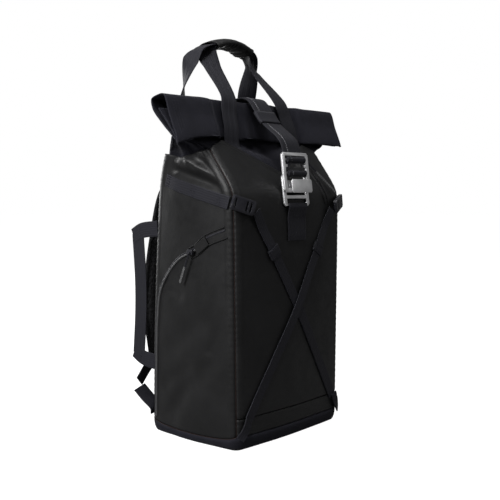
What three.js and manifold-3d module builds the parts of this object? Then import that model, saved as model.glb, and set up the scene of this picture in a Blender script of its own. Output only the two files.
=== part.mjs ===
// A rolltop backpack: a hollow cloth body, a canvas collar rolled shut, webbing handles and straps, metal and
// moulded fittings. Millimetres, +Z up, the front faces -Y, the origin is the middle of the base.
import * as THREE from 'three';
import { mergeVertices } from 'three/addons/utils/BufferGeometryUtils.js';
import Module from 'manifold-3d';

const wasm = await Module();
wasm.setup();

const V = (x, y, z) => new THREE.Vector3(x, y, z);
const clamp = THREE.MathUtils.clamp;
const lerp = THREE.MathUtils.lerp;

// Body
const bagWidth = 300;
const footWidth = 292;
const rimWidth = 306;
const frontDepth = 104;
const backDepthFoot = 115;
const backDepthRim = 82;
const kneeHeight = 440;
const rimHeight = kneeHeight + 67;
const frontSlope = 0.79;
const kneeRound = 14;
const cornerRadius = 22;
const clothWall = 2;
const seamGap = 0.3;
const sideCrown = 9;
const frontCrown = 10;
const backCrown = 3;
const frontPeak = 19;
const frontValley = 39;
const sideDip = 11;

// Base
const bootRound = 9;
const bootWall = 3;
const bootSideHeight = 15;
const bootCornerHeight = 24;
const hemHeight = 54;

// Roll and collar
const rollLength = 452;
const rollDepth = 68;
const rollHeight = 78;
const rollMiddleY = -16;
const rollMiddleZ = rimHeight + 55;
const rollWall = 5;
const collarInset = 7.5;
const collarTuck = 45;

// Webbing
const webThickness = 2.2;
const handleWidth = 36;
const sewnLength = 30;
const handleFootX = 84;
const gripHalfLength = 52;
const gripHeight = rollMiddleZ + 136;
const gripBack = 55;
const centreStrapWidth = 50;
const centreStrapThickness = 3.2;
const sideStripWidth = 22;
const crossStrapWidth = 20;
const sideHandleWidth = 31;
const sideHandleThickness = 3;
const harnessWebWidth = 25;

// Buckle
const buckleWidth = 72;
const buckleHeight = 70;
const buckleBar = 8;
const buckleThickness = 4.5;
const buckleTopZ = kneeHeight + 65;
const buckleTopY = -104;
const buckleLean = 0.13;
const lowerFrameStart = 38;
const lowerFrameHeight = 56;

// Back
const padWidth = 236;
const padThickness = 16;
const padFoot = 60;
const padTop = 450;
const shoulderWidth = 66;
const shoulderThickness = 14;

const straightShare = 0.8;
const halfTurn = Math.PI;

const FINISHES = {
  coated: { color: 0x1d1d1f, roughness: 0.5, metalness: 0 },
  canvas: { color: 0x14141a, roughness: 0.85, metalness: 0 },
  webbing: { color: 0x15151b, roughness: 0.8, metalness: 0 },
  plastic: { color: 0x101012, roughness: 0.4, metalness: 0 },
  metal: { color: 0xa9a9ab, roughness: 0.35, metalness: 1 },
  piping: { color: 0x4a4a4c, roughness: 0.5, metalness: 0 },
  mesh: { color: 0x121214, roughness: 0.95, metalness: 0 },
};

const group = new THREE.Group();

function addPart(name, geometry, finish) {
  const part = new THREE.Mesh(geometry, new THREE.MeshStandardMaterial(FINISHES[finish]));
  part.name = name;
  group.add(part);
  return part;
}

// A closed solid from points and triangles, its faces turned outwards.
function solid(points, triangles) {
  let volume = 0;
  for (const [a, b, c] of triangles) {
    volume += points[a].dot(V(0, 0, 0).crossVectors(points[b], points[c]));
  }
  const facing = volume > 0 ? triangles : triangles.map(([a, b, c]) => [a, c, b]);
  const geometry = new THREE.BufferGeometry().setFromPoints(points);
  geometry.setIndex(facing.flat());
  geometry.computeVertexNormals();
  return geometry;
}

// A thick sheet from two matching grids of points, one for each face.
function thickSheet(outer, inner) {
  const rows = outer.length;
  const columns = outer[0].length;
  const count = rows * columns;
  const points = [...outer.flat(), ...inner.flat()];
  const triangles = [];
  const quad = (a, b, c, d) => triangles.push([a, b, c], [a, c, d]);
  for (let r = 0; r < rows - 1; r += 1) {
    for (let c = 0; c < columns - 1; c += 1) {
      const a = r * columns + c;
      quad(a, a + 1, a + columns + 1, a + columns);
      quad(count + a + columns, count + a + columns + 1, count + a + 1, count + a);
    }
  }
  const edge = [];
  for (let c = 0; c < columns; c += 1) edge.push(c);
  for (let r = 1; r < rows; r += 1) edge.push(r * columns + columns - 1);
  for (let c = columns - 2; c >= 0; c -= 1) edge.push((rows - 1) * columns + c);
  for (let r = rows - 2; r > 0; r -= 1) edge.push(r * columns);
  edge.forEach((a, i) => {
    const b = edge[(i + 1) % edge.length];
    quad(a, count + a, count + b, b);
  });
  return solid(points, triangles);
}

// A solid skinned over closed rings of equally many points, its two ends filled.
function loft(rings) {
  const around = rings[0].length;
  const points = rings.flat();
  const triangles = skin(rings.length, around, 0);
  const last = (rings.length - 1) * around;
  for (let i = 1; i < around - 1; i += 1) {
    triangles.push([0, i + 1, i], [last, last + i, last + i + 1]);
  }
  return solid(points, triangles);
}

function skin(rings, around, start) {
  const triangles = [];
  for (let r = 0; r < rings - 1; r += 1) {
    for (let i = 0; i < around; i += 1) {
      const a = start + r * around + i;
      const b = start + r * around + (i + 1) % around;
      triangles.push([a, b, b + around], [a, b + around, a + around]);
    }
  }
  return triangles;
}

// A closed wall that goes up through the outer rings and down through the inner ones, like a cup or a tube.
function tube(outer, inner) {
  const rings = [...outer, ...[...inner].reverse(), outer[0]];
  const around = rings[0].length;
  return solid(rings.slice(0, -1).flat(), skin(rings.length, around, 0).map((face) => (
    face.map((index) => index % ((rings.length - 1) * around))
  )));
}

// Rows of named values, turned into evenly stepped rows on a smooth curve through them.
function smoothRows(rows, steps) {
  const curve = new THREE.CatmullRomCurve3(rows.map((row) => row.at), false, 'centripetal');
  const result = [];
  for (let i = 0; i <= steps; i += 1) {
    const share = i / steps;
    const place = Math.min(share * (rows.length - 1), rows.length - 1 - 1e-9);
    const before = Math.floor(place);
    const facing = rows[before].facing.clone().lerp(rows[before + 1].facing, place - before).normalize();
    result.push({ at: curve.getPoint(share), facing });
  }
  return result;
}

// The direction of travel at each row.
function tangents(rows) {
  return rows.map((row, i) => {
    const next = rows[Math.min(i + 1, rows.length - 1)].at;
    const previous = rows[Math.max(i - 1, 0)].at;
    return next.clone().sub(previous).normalize();
  });
}

// A flat strap through rows that each hold a middle point and the way its flat side faces.
function ribbon(rows, width, thickness) {
  const along = tangents(rows);
  return loft(rows.map((row, i) => ribbonRing(row, along[i], width, thickness)));
}

function ribbonRing(row, along, width, thickness) {
  const across = V(0, 0, 0).crossVectors(row.facing, along).normalize();
  const lift = V(0, 0, 0).crossVectors(along, across).normalize();
  return [[1, 1], [-1, 1], [-1, -1], [1, -1]].map(([side, level]) => (
    row.at.clone().addScaledVector(across, side * width / 2).addScaledVector(lift, level * thickness / 2)
  ));
}

// A padded strap or sleeve's ring: an ellipse in the plane across the row's direction.
function ovalRing(row, along, width, thickness, sides) {
  const across = V(0, 0, 0).crossVectors(row.facing, along).normalize();
  const lift = V(0, 0, 0).crossVectors(along, across).normalize();
  const ring = [];
  for (let i = 0; i < sides; i += 1) {
    const angle = (i + 0.5) / sides * 2 * halfTurn;
    ring.push(row.at.clone().addScaledVector(across, Math.cos(angle) * width / 2)
      .addScaledVector(lift, Math.sin(angle) * thickness / 2));
  }
  return ring;
}

function slab(outline, from, to) {
  const shape = new THREE.Shape(outline.map(([x, y]) => new THREE.Vector2(x, y)));
  const solid = new THREE.ExtrudeGeometry(shape, { depth: to - from, bevelEnabled: false, steps: 1 });
  return solid.translate(0, 0, from);
}

function asManifold(geometry) {
  geometry.deleteAttribute('normal');
  geometry.deleteAttribute('uv');
  const merged = mergeVertices(geometry);
  const vertProperties = new Float32Array(merged.attributes.position.array);
  const triVerts = new Uint32Array(merged.index.array);
  return new wasm.Manifold(new wasm.Mesh({ numProp: 3, vertProperties, triVerts }));
}

// A flat plate of the given outline, pushed out to its thickness, with each hole cut through it.
function plate(outline, holes, thickness) {
  const past = 1;
  let body = asManifold(slab(outline, 0, thickness));
  for (const hole of holes) body = body.subtract(asManifold(slab(hole, -past, thickness + past)));
  return asGeometry(body);
}

function asGeometry(body) {
  const { vertProperties, triVerts } = body.getMesh();
  const geometry = new THREE.BufferGeometry();
  geometry.setAttribute('position', new THREE.BufferAttribute(new Float32Array(vertProperties), 3));
  geometry.setIndex([...triVerts]);
  geometry.computeVertexNormals();
  return geometry;
}

// A rectangle with cut corners, as an outline from its left and lower edges to its right and upper ones.
function cutRectangle(left, low, right, high, cut) {
  return [
    [left + cut, low], [right - cut, low], [right, low + cut], [right, high - cut],
    [right - cut, high], [left + cut, high], [left, high - cut], [left, low + cut],
  ];
}

const rectangle = (left, low, right, high) => [[left, low], [right, low], [right, high], [left, high]];

// The body's outline at a height

function frontY(z) {
  const above = z - kneeHeight;
  return -frontDepth + frontSlope * (above + Math.hypot(above, kneeRound)) / 2;
}

const backY = (z) => lerp(backDepthFoot, backDepthRim, (clamp(z, 0, rimHeight * 1.1) / rimHeight) ** 1.6);

function halfWidth(z) {
  const share = clamp(z / rimHeight, 0, 1);
  return (share < 0.5 ? lerp(footWidth, bagWidth, share * 2) : lerp(bagWidth, rimWidth, share * 2 - 1)) / 2;
}

// How full the crowned panels are at a height: least at the base and at the rim.
function fullness(z) {
  return Math.sqrt(Math.sin(halfTurn * clamp((z + 0.08 * rimHeight) / (1.16 * rimHeight), 0.02, 0.98)));
}

// Creases on the side panels. Each runs between two places, in shares of the front depth and rim height.
const SIDE_FOLDS = [
  { fold: 'knee crease', fromY: -0.84, fromZ: 0.875, toY: 0.16, toZ: 0.925, depth: 6, spread: 9 },
  { fold: 'upper crease', fromY: -0.72, fromZ: 0.9, toY: -0.02, toZ: 0.975, depth: 5, spread: 8 },
  { fold: 'back hollow', fromY: 0.58, fromZ: 0.93, toY: 0.4, toZ: 0.985, depth: 4, spread: 13 },
  { fold: 'low dent', fromY: 0.42, fromZ: 0.05, toY: 0.12, toZ: 0.15, depth: 4, spread: 16 },
];

function sideFold(y, z) {
  let depth = 0;
  for (const fold of SIDE_FOLDS) {
    const from = [fold.fromY * frontDepth, fold.fromZ * rimHeight];
    const to = [fold.toY * frontDepth, fold.toZ * rimHeight];
    const run = [to[0] - from[0], to[1] - from[1]];
    const along = (y - from[0]) * run[0] + (z - from[1]) * run[1];
    const share = clamp(along / (run[0] ** 2 + run[1] ** 2), 0, 1);
    const away = Math.hypot(y - from[0] - share * run[0], z - from[1] - share * run[1]);
    depth += fold.depth * Math.exp(-((away / fold.spread) ** 2));
  }
  return depth;
}

// A point of the body's outline at a height: share runs from -1 to 1 between the middles of a side's two
// corners, and inset moves it inwards.
function outlinePoint(side, share, z, inset = 0) {
  const front = frontY(z) + inset;
  const back = backY(z) - inset;
  const halfWide = halfWidth(z) - inset;
  const radius = cornerRadius - inset;
  const middle = (front + back) / 2;
  const halfDeep = (back - front) / 2;
  const onFlank = side === 'left' || side === 'right';
  const half = onFlank ? halfDeep : halfWide;
  const reach = onFlank ? halfWide : halfDeep;
  const bend = Math.max(0, Math.abs(share) - straightShare) / (1 - straightShare) * halfTurn / 4;
  const straight = Math.min(Math.abs(share), straightShare) / straightShare;
  const along = Math.sign(share) * (straight * (half - radius) + radius * Math.sin(bend));
  const crown = { left: sideCrown, right: sideCrown, front: frontCrown, back: backCrown }[side];
  const bulge = crown * fullness(z) * (1 - straight ** 2);
  const fold = onFlank ? sideFold(middle - along, z) * (1 - straight ** 6) : 0;
  const out = reach - radius + radius * Math.cos(bend) + bulge - fold;
  if (side === 'left') return V(-out, middle - along, z);
  if (side === 'right') return V(out, middle - along, z);
  if (side === 'front') return V(along, middle - out, z);
  return V(along, middle + out, z);
}

// The share along the front or the back at a distance from the middle.
const faceShare = (x, z) => clamp(x / (halfWidth(z) - cornerRadius), -1, 1) * straightShare;

const FACING = { left: V(-1, 0, 0), right: V(1, 0, 0), front: V(0, -1, 0), back: V(0, 1, 0) };

// A place on the bag at a lift above its cloth, with the level direction that the cloth faces there.
function onBag(side, share, z, lift) {
  const bend = Math.max(0, Math.abs(share) - straightShare) / (1 - straightShare) * halfTurn / 4;
  const turn = Math.sign(share) * Math.sin(bend);
  const level = FACING[side].clone().multiplyScalar(Math.cos(bend));
  level.add(side === 'left' || side === 'right' ? V(0, -turn, 0) : V(turn, 0, 0));
  return { at: outlinePoint(side, share, z, -lift), facing: level };
}

// Rim heights above or below the back's, in shares of the named peaks and dips.
const FRONT_RIM = [
  { share: 0, height: -frontValley },
  { share: straightShare * 5 / 6, height: frontPeak },
  { share: 1, height: 2 },
];

const FLANK_RIM = [
  { share: -1, height: -0.27 * sideDip },
  { share: -0.1, height: -sideDip },
  { share: 1, height: 2 },
];

function readRow(rows, share) {
  const next = Math.max(1, rows.findIndex((row) => row.share >= share));
  const [a, b] = [rows[next - 1], rows[next]];
  return lerp(a.height, b.height, (share - a.share) / (b.share - a.share));
}

function rimZ(side, share) {
  if (side === 'front') return rimHeight + readRow(FRONT_RIM, Math.abs(share));
  if (side === 'back') return rimHeight - 0.27 * sideDip;
  return rimHeight + readRow(FLANK_RIM, share);
}

function bootZ(side, share) {
  const corner = Math.abs(share) ** 3;
  return side === 'front' ? bootCornerHeight : lerp(bootSideHeight, bootCornerHeight, corner);
}

// Rows of the panels below the knee, in shares of the knee's height, and above it, in shares up to the rim.
const LOWER_ROWS = [0.15, 0.3, 0.45, 0.6, 0.75, 0.88, 1];
const UPPER_ROWS = [0.2, 0.4, 0.6, 0.8, 1];

function rowHeights(side, share, foot) {
  const rim = rimZ(side, share);
  const lower = LOWER_ROWS.map((row) => Math.max(foot + 20 * row, row * kneeHeight));
  return [foot, ...lower, ...UPPER_ROWS.map((row) => lerp(kneeHeight, rim, row))];
}

// Stations along a panel: its corner arcs and its straight run, ended short of the seam.
function stations(cornerSteps, straightSteps, length) {
  const end = 1 - seamGap / 2 / length;
  const shares = [];
  for (let i = 0; i < cornerSteps; i += 1) shares.push(lerp(-end, -straightShare, i / cornerSteps));
  for (let i = 0; i <= straightSteps; i += 1) {
    shares.push(lerp(-straightShare, straightShare, i / straightSteps));
  }
  for (let i = 1; i <= cornerSteps; i += 1) shares.push(lerp(straightShare, end, i / cornerSteps));
  return shares;
}

const cornerArc = cornerRadius * halfTurn / 4 / (1 - straightShare);

function panel(side, straightSteps, heights) {
  const shares = stations(2, straightSteps, cornerArc);
  const columns = shares.map((share) => heights(side, share));
  const grid = (inset) => columns[0].map((_, row) => (
    shares.map((share, column) => outlinePoint(side, share, columns[column][row], inset))
  ));
  return thickSheet(grid(0), grid(clothWall));
}

function buildPanels() {
  const fromBoot = (side, share) => rowHeights(side, share, bootZ(side, share) + seamGap);
  const fromHem = (side, share) => rowHeights(side, share, hemHeight + seamGap);
  const hem = (side, share) => [bootZ(side, share) + seamGap, hemHeight];
  addPart('side_panel_left', panel('left', 9, fromBoot), 'coated');
  addPart('side_panel_right', panel('right', 9, fromBoot), 'coated');
  addPart('front_panel', panel('front', 12, fromHem), 'coated');
  addPart('front_hem', panel('front', 6, hem), 'coated');
  addPart('back_panel', panel('back', 6, fromBoot), 'coated');
}

// All the way round the bag, as pairs of a side and a share along it.
function around(cornerSteps, flankSteps, faceSteps) {
  const result = [];
  const run = (side, steps, reversed) => {
    const shares = stations(cornerSteps, steps, Infinity).slice(0, -1);
    for (const share of shares) result.push([side, reversed ? -share : share]);
  };
  run('left', flankSteps, false);
  run('front', faceSteps, false);
  run('right', flankSteps, true);
  run('back', faceSteps, true);
  return result;
}

// The base: a shallow tray with a rounded lower edge.
const BOOT_ROWS = [
  { inset: 1, height: 0 },
  { inset: 0.4, height: 0.25 },
  { inset: 0.08, height: 0.65 },
  { inset: 0, height: 1 },
];

function buildBoot() {
  const places = around(2, 6, 8);
  const ring = (inset, height) => places.map(([side, share]) => (
    outlinePoint(side, share, height(side, share), inset)
  ));
  const outer = BOOT_ROWS.map((row) => ring(row.inset * bootRound, (side, share) => (
    row.height === 1 ? bootZ(side, share) : row.height * bootSideHeight
  )));
  const inner = [
    ring(bootWall, bootZ),
    ring(bootWall + 0.08 * bootRound, () => Math.max(bootWall + 1, 0.65 * bootSideHeight)),
    ring(bootWall + 0.6 * bootRound, () => bootWall),
  ];
  const rings = [...outer, ...inner];
  const count = places.length;
  const points = [...rings.flat(), V(0, 0, 0), V(0, 0, bootWall)];
  const triangles = skin(rings.length, count, 0);
  const last = (rings.length - 1) * count;
  for (let i = 0; i < count; i += 1) {
    const next = (i + 1) % count;
    triangles.push([next, i, rings.length * count]);
    triangles.push([last + i, last + next, rings.length * count + 1]);
  }
  addPart('base_boot', solid(points, triangles), 'canvas');
}

// The roll's section as one line of cloth, from its hidden start behind the collar to its inner end, in
// shares of half the roll's depth and height.
const ROLL_LINE = [
  { at: 'start under the back', y: 0.12, z: -0.4 },
  { at: 'back corner', y: 0.86, z: 0.24 },
  { at: 'top back', y: 0.93, z: 0.74 },
  { at: 'top', y: 0.4, z: 0.93 },
  { at: 'top front', y: -0.12, z: 0.91 },
  { at: 'front', y: -0.5, z: 0.1 },
  { at: 'tip', y: -0.92, z: -0.84 },
  { at: 'tip turned', y: -0.78, z: -0.9 },
  { at: 'under', y: -0.44, z: -0.58 },
  { at: 'inside', y: 0.02, z: -0.13 },
  { at: 'inner end', y: 0.45, z: 0.26 },
];

// Where straps press the roll's front back, in shares of half its length.
const ROLL_DENTS = [
  { strap: 'left handle', x: -0.35, depth: 20, spread: 38 },
  { strap: 'centre strap', x: 0, depth: 16, spread: 40 },
  { strap: 'right handle', x: 0.35, depth: 20, spread: 38 },
];

const rollFront = rollMiddleY - rollDepth / 2;
const rollBack = rollMiddleY + rollDepth / 2;
const rollTop = rollMiddleZ + rollHeight / 2;

function rollDent(x, y) {
  const nearFront = clamp((rollBack - y) / rollDepth, 0, 1);
  let depth = 0;
  for (const dent of ROLL_DENTS) {
    depth += dent.depth * Math.exp(-(((x - dent.x * rollLength / 2) / dent.spread) ** 6));
  }
  return depth * nearFront ** 1.3;
}

function buildRoll() {
  const line = new THREE.CatmullRomCurve3(ROLL_LINE.map((row) => (
    V(rollMiddleY + row.y * rollDepth / 2, rollMiddleZ + row.z * rollHeight / 2, 0)
  )), false, 'centripetal').getSpacedPoints(23);
  const side = (sign) => line.map((point, i) => {
    const run = line[Math.min(i + 1, line.length - 1)].clone().sub(line[Math.max(i - 1, 0)]).normalize();
    return new THREE.Vector2(point.x - sign * run.y * rollWall / 2, point.y + sign * run.x * rollWall / 2);
  });
  const shape = new THREE.Shape([...side(1), ...side(-1).reverse()]);
  const geometry = new THREE.ExtrudeGeometry(shape, { depth: rollLength, bevelEnabled: false, steps: 28 });
  const place = geometry.attributes.position;
  for (let i = 0; i < place.count; i += 1) {
    const x = place.getZ(i) - rollLength / 2;
    const y = place.getX(i);
    place.setXYZ(i, x, y + rollDent(x, y), place.getY(i));
  }
  addPart('roll', geometry, 'canvas');
}

// The underside of the roll as a height over a depth, and its front face as a depth over a height.
function undersideZ(y) {
  const slope = lerp(-0.58, -0.13, (y - rollMiddleY + 0.44 * rollDepth / 2) / (0.46 * rollDepth / 2));
  const hiddenStart = rollMiddleZ - 0.4 * rollHeight / 2 - rollWall * 0.95;
  return Math.min(rollMiddleZ + rollHeight / 2 * slope - rollWall * 0.9, hiddenStart);
}

const rollFaceY = (x, z) => {
  const y = rollMiddleY + rollDepth / 2 * lerp(-0.92, -0.12, (z - rollMiddleZ + 0.84 * rollHeight / 2)
    / (1.75 * rollHeight / 2)) - rollWall / 2;
  return y + rollDent(x, y);
};

// The collar's rings: how far each is gathered from the body's outline towards the flat slot under the roll.
const COLLAR_ROWS = [
  { ring: 'tucked into the body', rise: -1, gather: 0 },
  { ring: 'below the rim', rise: -0.3, gather: 0 },
  { ring: 'at the rim', rise: 0, gather: 0.04 },
  { ring: 'fold', rise: 0.3, gather: 0.3 },
  { ring: 'neck', rise: 0.56, gather: 0.78 },
  { ring: 'under the roll', rise: 1, gather: 1 },
];

const slotHalfLength = 0.9 * rollLength / 2;
const slotHalfDepth = 6;
const slotY = rollMiddleY - 4;

function buildCollar() {
  const places = around(2, 5, 13);
  const ring = (row, inset) => places.map(([side, share]) => {
    const low = Math.min(rimZ(side, share), rimHeight) - (row.rise < 0 ? -row.rise * collarTuck : 0);
    const body = outlinePoint(side, share, low, collarInset + inset);
    const slotX = clamp(body.x / (halfWidth(rimHeight) - collarInset), -1, 1) * (slotHalfLength - inset);
    const flat = clamp((body.y - slotY) / backDepthRim, -1, 1);
    const slotAt = V(slotX, slotY + Math.sign(flat) * Math.abs(flat) ** 0.5 * (slotHalfDepth - inset / 2), 0);
    slotAt.z = undersideZ(slotAt.y) - seamGap - 0.2;
    const rise = Math.max(0, row.rise);
    const x = lerp(body.x, slotAt.x, row.gather);
    const pressed = rollDent(x, slotAt.y) * row.gather;
    return V(x, lerp(body.y, slotAt.y, row.gather) + pressed, lerp(low, slotAt.z, rise));
  });
  const outer = COLLAR_ROWS.map((row) => ring(row, 0));
  const inner = COLLAR_ROWS.map((row) => ring(row, clothWall));
  addPart('collar', tube(outer, inner), 'canvas');
}

// Handles

const behindPanel = (x, z) => outlinePoint('front', faceShare(x, z), z, clothWall + 1.5 + webThickness);

function frontHandleRows(side) {
  const onRoll = (inwards, height, lift) => {
    const x = side * (handleFootX - inwards);
    return V(x, rollFaceY(x, height) - lift, height);
  };
  const foot = (z) => behindPanel(side * handleFootX, z);
  const faced = V(0, -1, 0.35).normalize();
  return [
    { at: foot(rimHeight), facing: faced },
    { at: foot(rimHeight + frontPeak * 0.6), facing: faced },
    { at: onRoll(1, rollMiddleZ - 28, 5), facing: faced },
    { at: onRoll(3, rollMiddleZ - 14, 6), facing: faced },
    { at: onRoll(7, rollMiddleZ + 14, 4.2), facing: faced },
    { at: onRoll(13, rollTop, 4), facing: V(0, -1, 0.6).normalize() },
    { at: V(side * (gripHalfLength + 7), gripBack - 20, gripHeight - 36),
      facing: V(side * 0.3, -1, 0.35).normalize() },
    { at: V(side * (gripHalfLength + 5), gripBack - 5, gripHeight - 12),
      facing: V(side * 0.9, -0.7, 0.4).normalize() },
    { at: V(side * gripHalfLength, gripBack, gripHeight - 0.6), facing: V(side * 0.6, 0, 1).normalize() },
  ];
}

const gripRise = 13;
const gripAt = (share, lift) => (
  V(share * gripHalfLength, gripBack, gripHeight + gripRise * (1 - share ** 2) + lift)
);

function gripRows(lift) {
  return [-0.84, -0.42, 0, 0.42, 0.84].map((share) => (
    { at: gripAt(share, lift), facing: V(share * 0.4, 0, 1).normalize() }
  ));
}

const handleLayer = webThickness + 1.1;

function buildFrontHandle() {
  const lowered = (rows) => rows.map((row, i) => (
    i === rows.length - 1 ? { at: row.at.clone().add(V(0, 0, -handleLayer / 2)), facing: row.facing } : row
  ));
  const left = lowered(frontHandleRows(-1));
  const right = lowered(frontHandleRows(1)).reverse();
  const rows = smoothRows([...left, ...gripRows(-handleLayer / 2), ...right], 44);
  addPart('front_handle', ribbon(rows, handleWidth, webThickness), 'webbing');
}

const behindBack = (x, z, thickness) => (
  outlinePoint('back', faceShare(x, z), z, -seamGap - thickness / 2 - 0.2)
);

function rearHandleRows(side) {
  const low = rimHeight - sewnLength;
  return [
    { at: behindBack(side * handleFootX, low, webThickness), facing: V(0, 1, 0) },
    { at: behindBack(side * handleFootX, rimHeight - 6, webThickness), facing: V(0, 1, 0) },
    { at: V(side * (handleFootX + 2), backDepthRim + 4, rollMiddleZ), facing: V(0, 1, 0.1).normalize() },
    { at: V(side * (handleFootX + 2), backDepthRim, rollTop + 20),
      facing: V(side * 0.67, 0.74, 0.1).normalize() },
    { at: V(side * (gripHalfLength + 30), gripBack + 16, gripHeight - 24),
      facing: V(side, 0.15, 0.3).normalize() },
    { at: V(side * (gripHalfLength + 17), gripBack + 5, gripHeight - 4),
      facing: V(side * 0.8, 0.1, 1).normalize() },
    { at: V(side * (gripHalfLength + 2), gripBack, gripHeight + handleLayer + 1),
      facing: V(side * 0.4, 0, 1).normalize() },
  ];
}

function buildRearHandle() {
  const left = rearHandleRows(-1);
  const right = rearHandleRows(1).reverse();
  const rows = smoothRows([...left, ...gripRows(handleLayer / 2), ...right], 42);
  addPart('rear_handle', ribbon(rows, handleWidth, webThickness), 'webbing');
}

const wrapWidth = handleWidth + 14;
const wrapHeight = 18;
const wrapWall = 2.5;
const wrapReach = 0.88;

function buildHandleWrap() {
  const rows = [];
  for (let i = 0; i <= 8; i += 1) {
    const share = lerp(-wrapReach, wrapReach, i / 8);
    rows.push({ at: gripAt(share, 0), facing: V(share * 0.4, 0, 1).normalize() });
  }
  const along = tangents(rows);
  const rings = (inset) => rows.map((row, i) => (
    ovalRing(row, along[i], wrapWidth - inset * 2, wrapHeight - inset * 2, 12)
  ));
  addPart('handle_wrap', tube(rings(0), rings(wrapWall)), 'coated');
}

// Centre strap and buckle

const strapHang = (drop, out) => V(0, buckleTopY - buckleLean * drop - out, buckleTopZ - drop);

const bars = { upper: 12.5, lower: 36 };
const barHeight = 3.6;
const turnReach = 6.4;
const behindFrame = -seamGap - centreStrapThickness / 2;

function buildCentreStrap() {
  const low = rimHeight - sewnLength;
  const ridge = rollFaceY(0, rollTop) + 5;
  const rows = [
    { at: behindBack(0, low, centreStrapThickness), facing: V(0, 1, 0) },
    { at: behindBack(0, rimHeight - 2, centreStrapThickness), facing: V(0, 1, 0) },
    { at: V(0, backDepthRim - 4, rimHeight + 16), facing: V(0, 1, 0.4).normalize() },
    { at: V(0, rollBack + 24, rollMiddleZ), facing: V(0, 1, 0.6).normalize() },
    { at: V(0, rollBack - 4, rollTop + 1), facing: V(0, 0.5, 1).normalize() },
    { at: V(0, (rollBack + ridge) / 2, rollTop + 4), facing: V(0, 0, 1) },
    { at: V(0, ridge - 8, rollTop + 1.4), facing: V(0, -0.6, 1).normalize() },
    { at: V(0, lerp(ridge, buckleTopY, 0.45), lerp(rollTop, buckleTopZ, 0.42)),
      facing: V(0, -1, 0.8).normalize() },
    { at: strapHang(-22, behindFrame - 6), facing: V(0, -1, 0.5).normalize() },
    { at: strapHang(-4, behindFrame - 0.5), facing: V(0, -1, 0.2).normalize() },
    { at: strapHang(bars.upper - turnReach, behindFrame), facing: V(0, -1, buckleLean).normalize() },
  ];
  const route = smoothRows(rows, 33);
  addPart('centre_strap', ribbon(route, centreStrapWidth, centreStrapThickness), 'webbing');
  const keeperRows = route.slice(21, 24);
  const along = tangents(keeperRows);
  const ring = (width, thickness) => keeperRows.map((row, i) => ribbonRing(row, along[i], width, thickness));
  const outer = ring(centreStrapWidth + 6, centreStrapThickness + 5.5);
  const inner = ring(centreStrapWidth + 1.2, centreStrapThickness + 1);
  addPart('strap_keeper', tube(outer, inner), 'webbing');
}

// Puts a plate drawn with x across and y upwards onto the buckle's plane, with its front face lifted out.
function hangOnBuckle(part, drop, lift) {
  part.position.copy(strapHang(drop, lift));
  part.rotation.x = halfTurn / 2 - Math.atan(buckleLean);
  return part;
}

const tabLength = 5;
function buildBuckleFrame() {
  const half = buckleWidth / 2;
  const inside = half - buckleBar;
  const windows = [
    rectangle(-inside, -bars.upper + barHeight / 2, inside, -buckleBar * 0.75),
    [
      [-inside, -bars.lower + barHeight / 2], [inside, -bars.lower + barHeight / 2],
      [inside, -26], [inside - tabLength, -26], [inside - tabLength, -21], [inside, -21],
      [inside, -bars.upper - barHeight / 2], [-inside, -bars.upper - barHeight / 2],
      [-inside, -21], [-inside + tabLength, -21], [-inside + tabLength, -26], [-inside, -26],
    ],
    rectangle(-inside, -buckleHeight + buckleBar, inside, -bars.lower - barHeight / 2),
  ];
  const frame = plate(cutRectangle(-half, -buckleHeight, half, 0, 4), windows, buckleThickness);
  hangOnBuckle(addPart('buckle_frame', frame, 'metal'), 0, 0);
}

// The strap's turns over the two bars, as sleeves round them.
function buildBarWraps() {
  for (const [name, drop] of Object.entries(bars)) {
    const width = centreStrapWidth - 1;
    const rows = [-width / 2, width / 2].map((x) => ({
      at: strapHang(drop, buckleThickness / 2).add(V(x, 0, 0)), facing: V(0, -1, buckleLean),
    }));
    const along = tangents(rows);
    const rings = (height, depth) => rows.map((row, i) => ovalRing(row, along[i], height, depth, 10));
    const turn = tube(rings(11.4, 12.5), rings(barHeight + 3, buckleThickness + 3.2));
    addPart(`bar_wrap_${name}`, turn, 'webbing');
  }
}

const hookWidth = 56;
const hookShift = 9;
const lowerFrameThickness = 4;

// The hook plate lies over the frame, and its neck goes back through the lowest window to the lower frame.
function buildHookPlate() {
  const half = hookWidth / 2;
  const outline = cutRectangle(hookShift - half, -buckleHeight - 1, hookShift + half, -47, 3);
  const faceLift = buckleThickness + seamGap;
  const neck = rectangle(-12, -buckleHeight + buckleBar + 2, 12, -50);
  const face = asManifold(slab(outline, faceLift, faceLift + 3));
  const joined = face.add(asManifold(slab(neck, 0, faceLift + 1)));
  hangOnBuckle(addPart('buckle_hook_plate', asGeometry(joined), 'metal'), 0, 0);
}

function buildLowerFrame() {
  const half = buckleWidth / 2 - 1;
  const inside = half - buckleBar;
  const low = -lowerFrameStart - lowerFrameHeight;
  const windows = [
    rectangle(-inside, -49, inside, -lowerFrameStart + 1),
    rectangle(-inside, -75, inside, -64),
    rectangle(-inside, low + 4, inside, -81),
  ];
  const frame = plate(cutRectangle(-half, low, half, -lowerFrameStart, 4), windows, lowerFrameThickness);
  hangOnBuckle(addPart('buckle_lower_frame', frame, 'metal'), 0, -lowerFrameThickness - seamGap);
}

const stitchedBelowKnee = 88;
const strapBelowKnee = 48;

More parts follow.
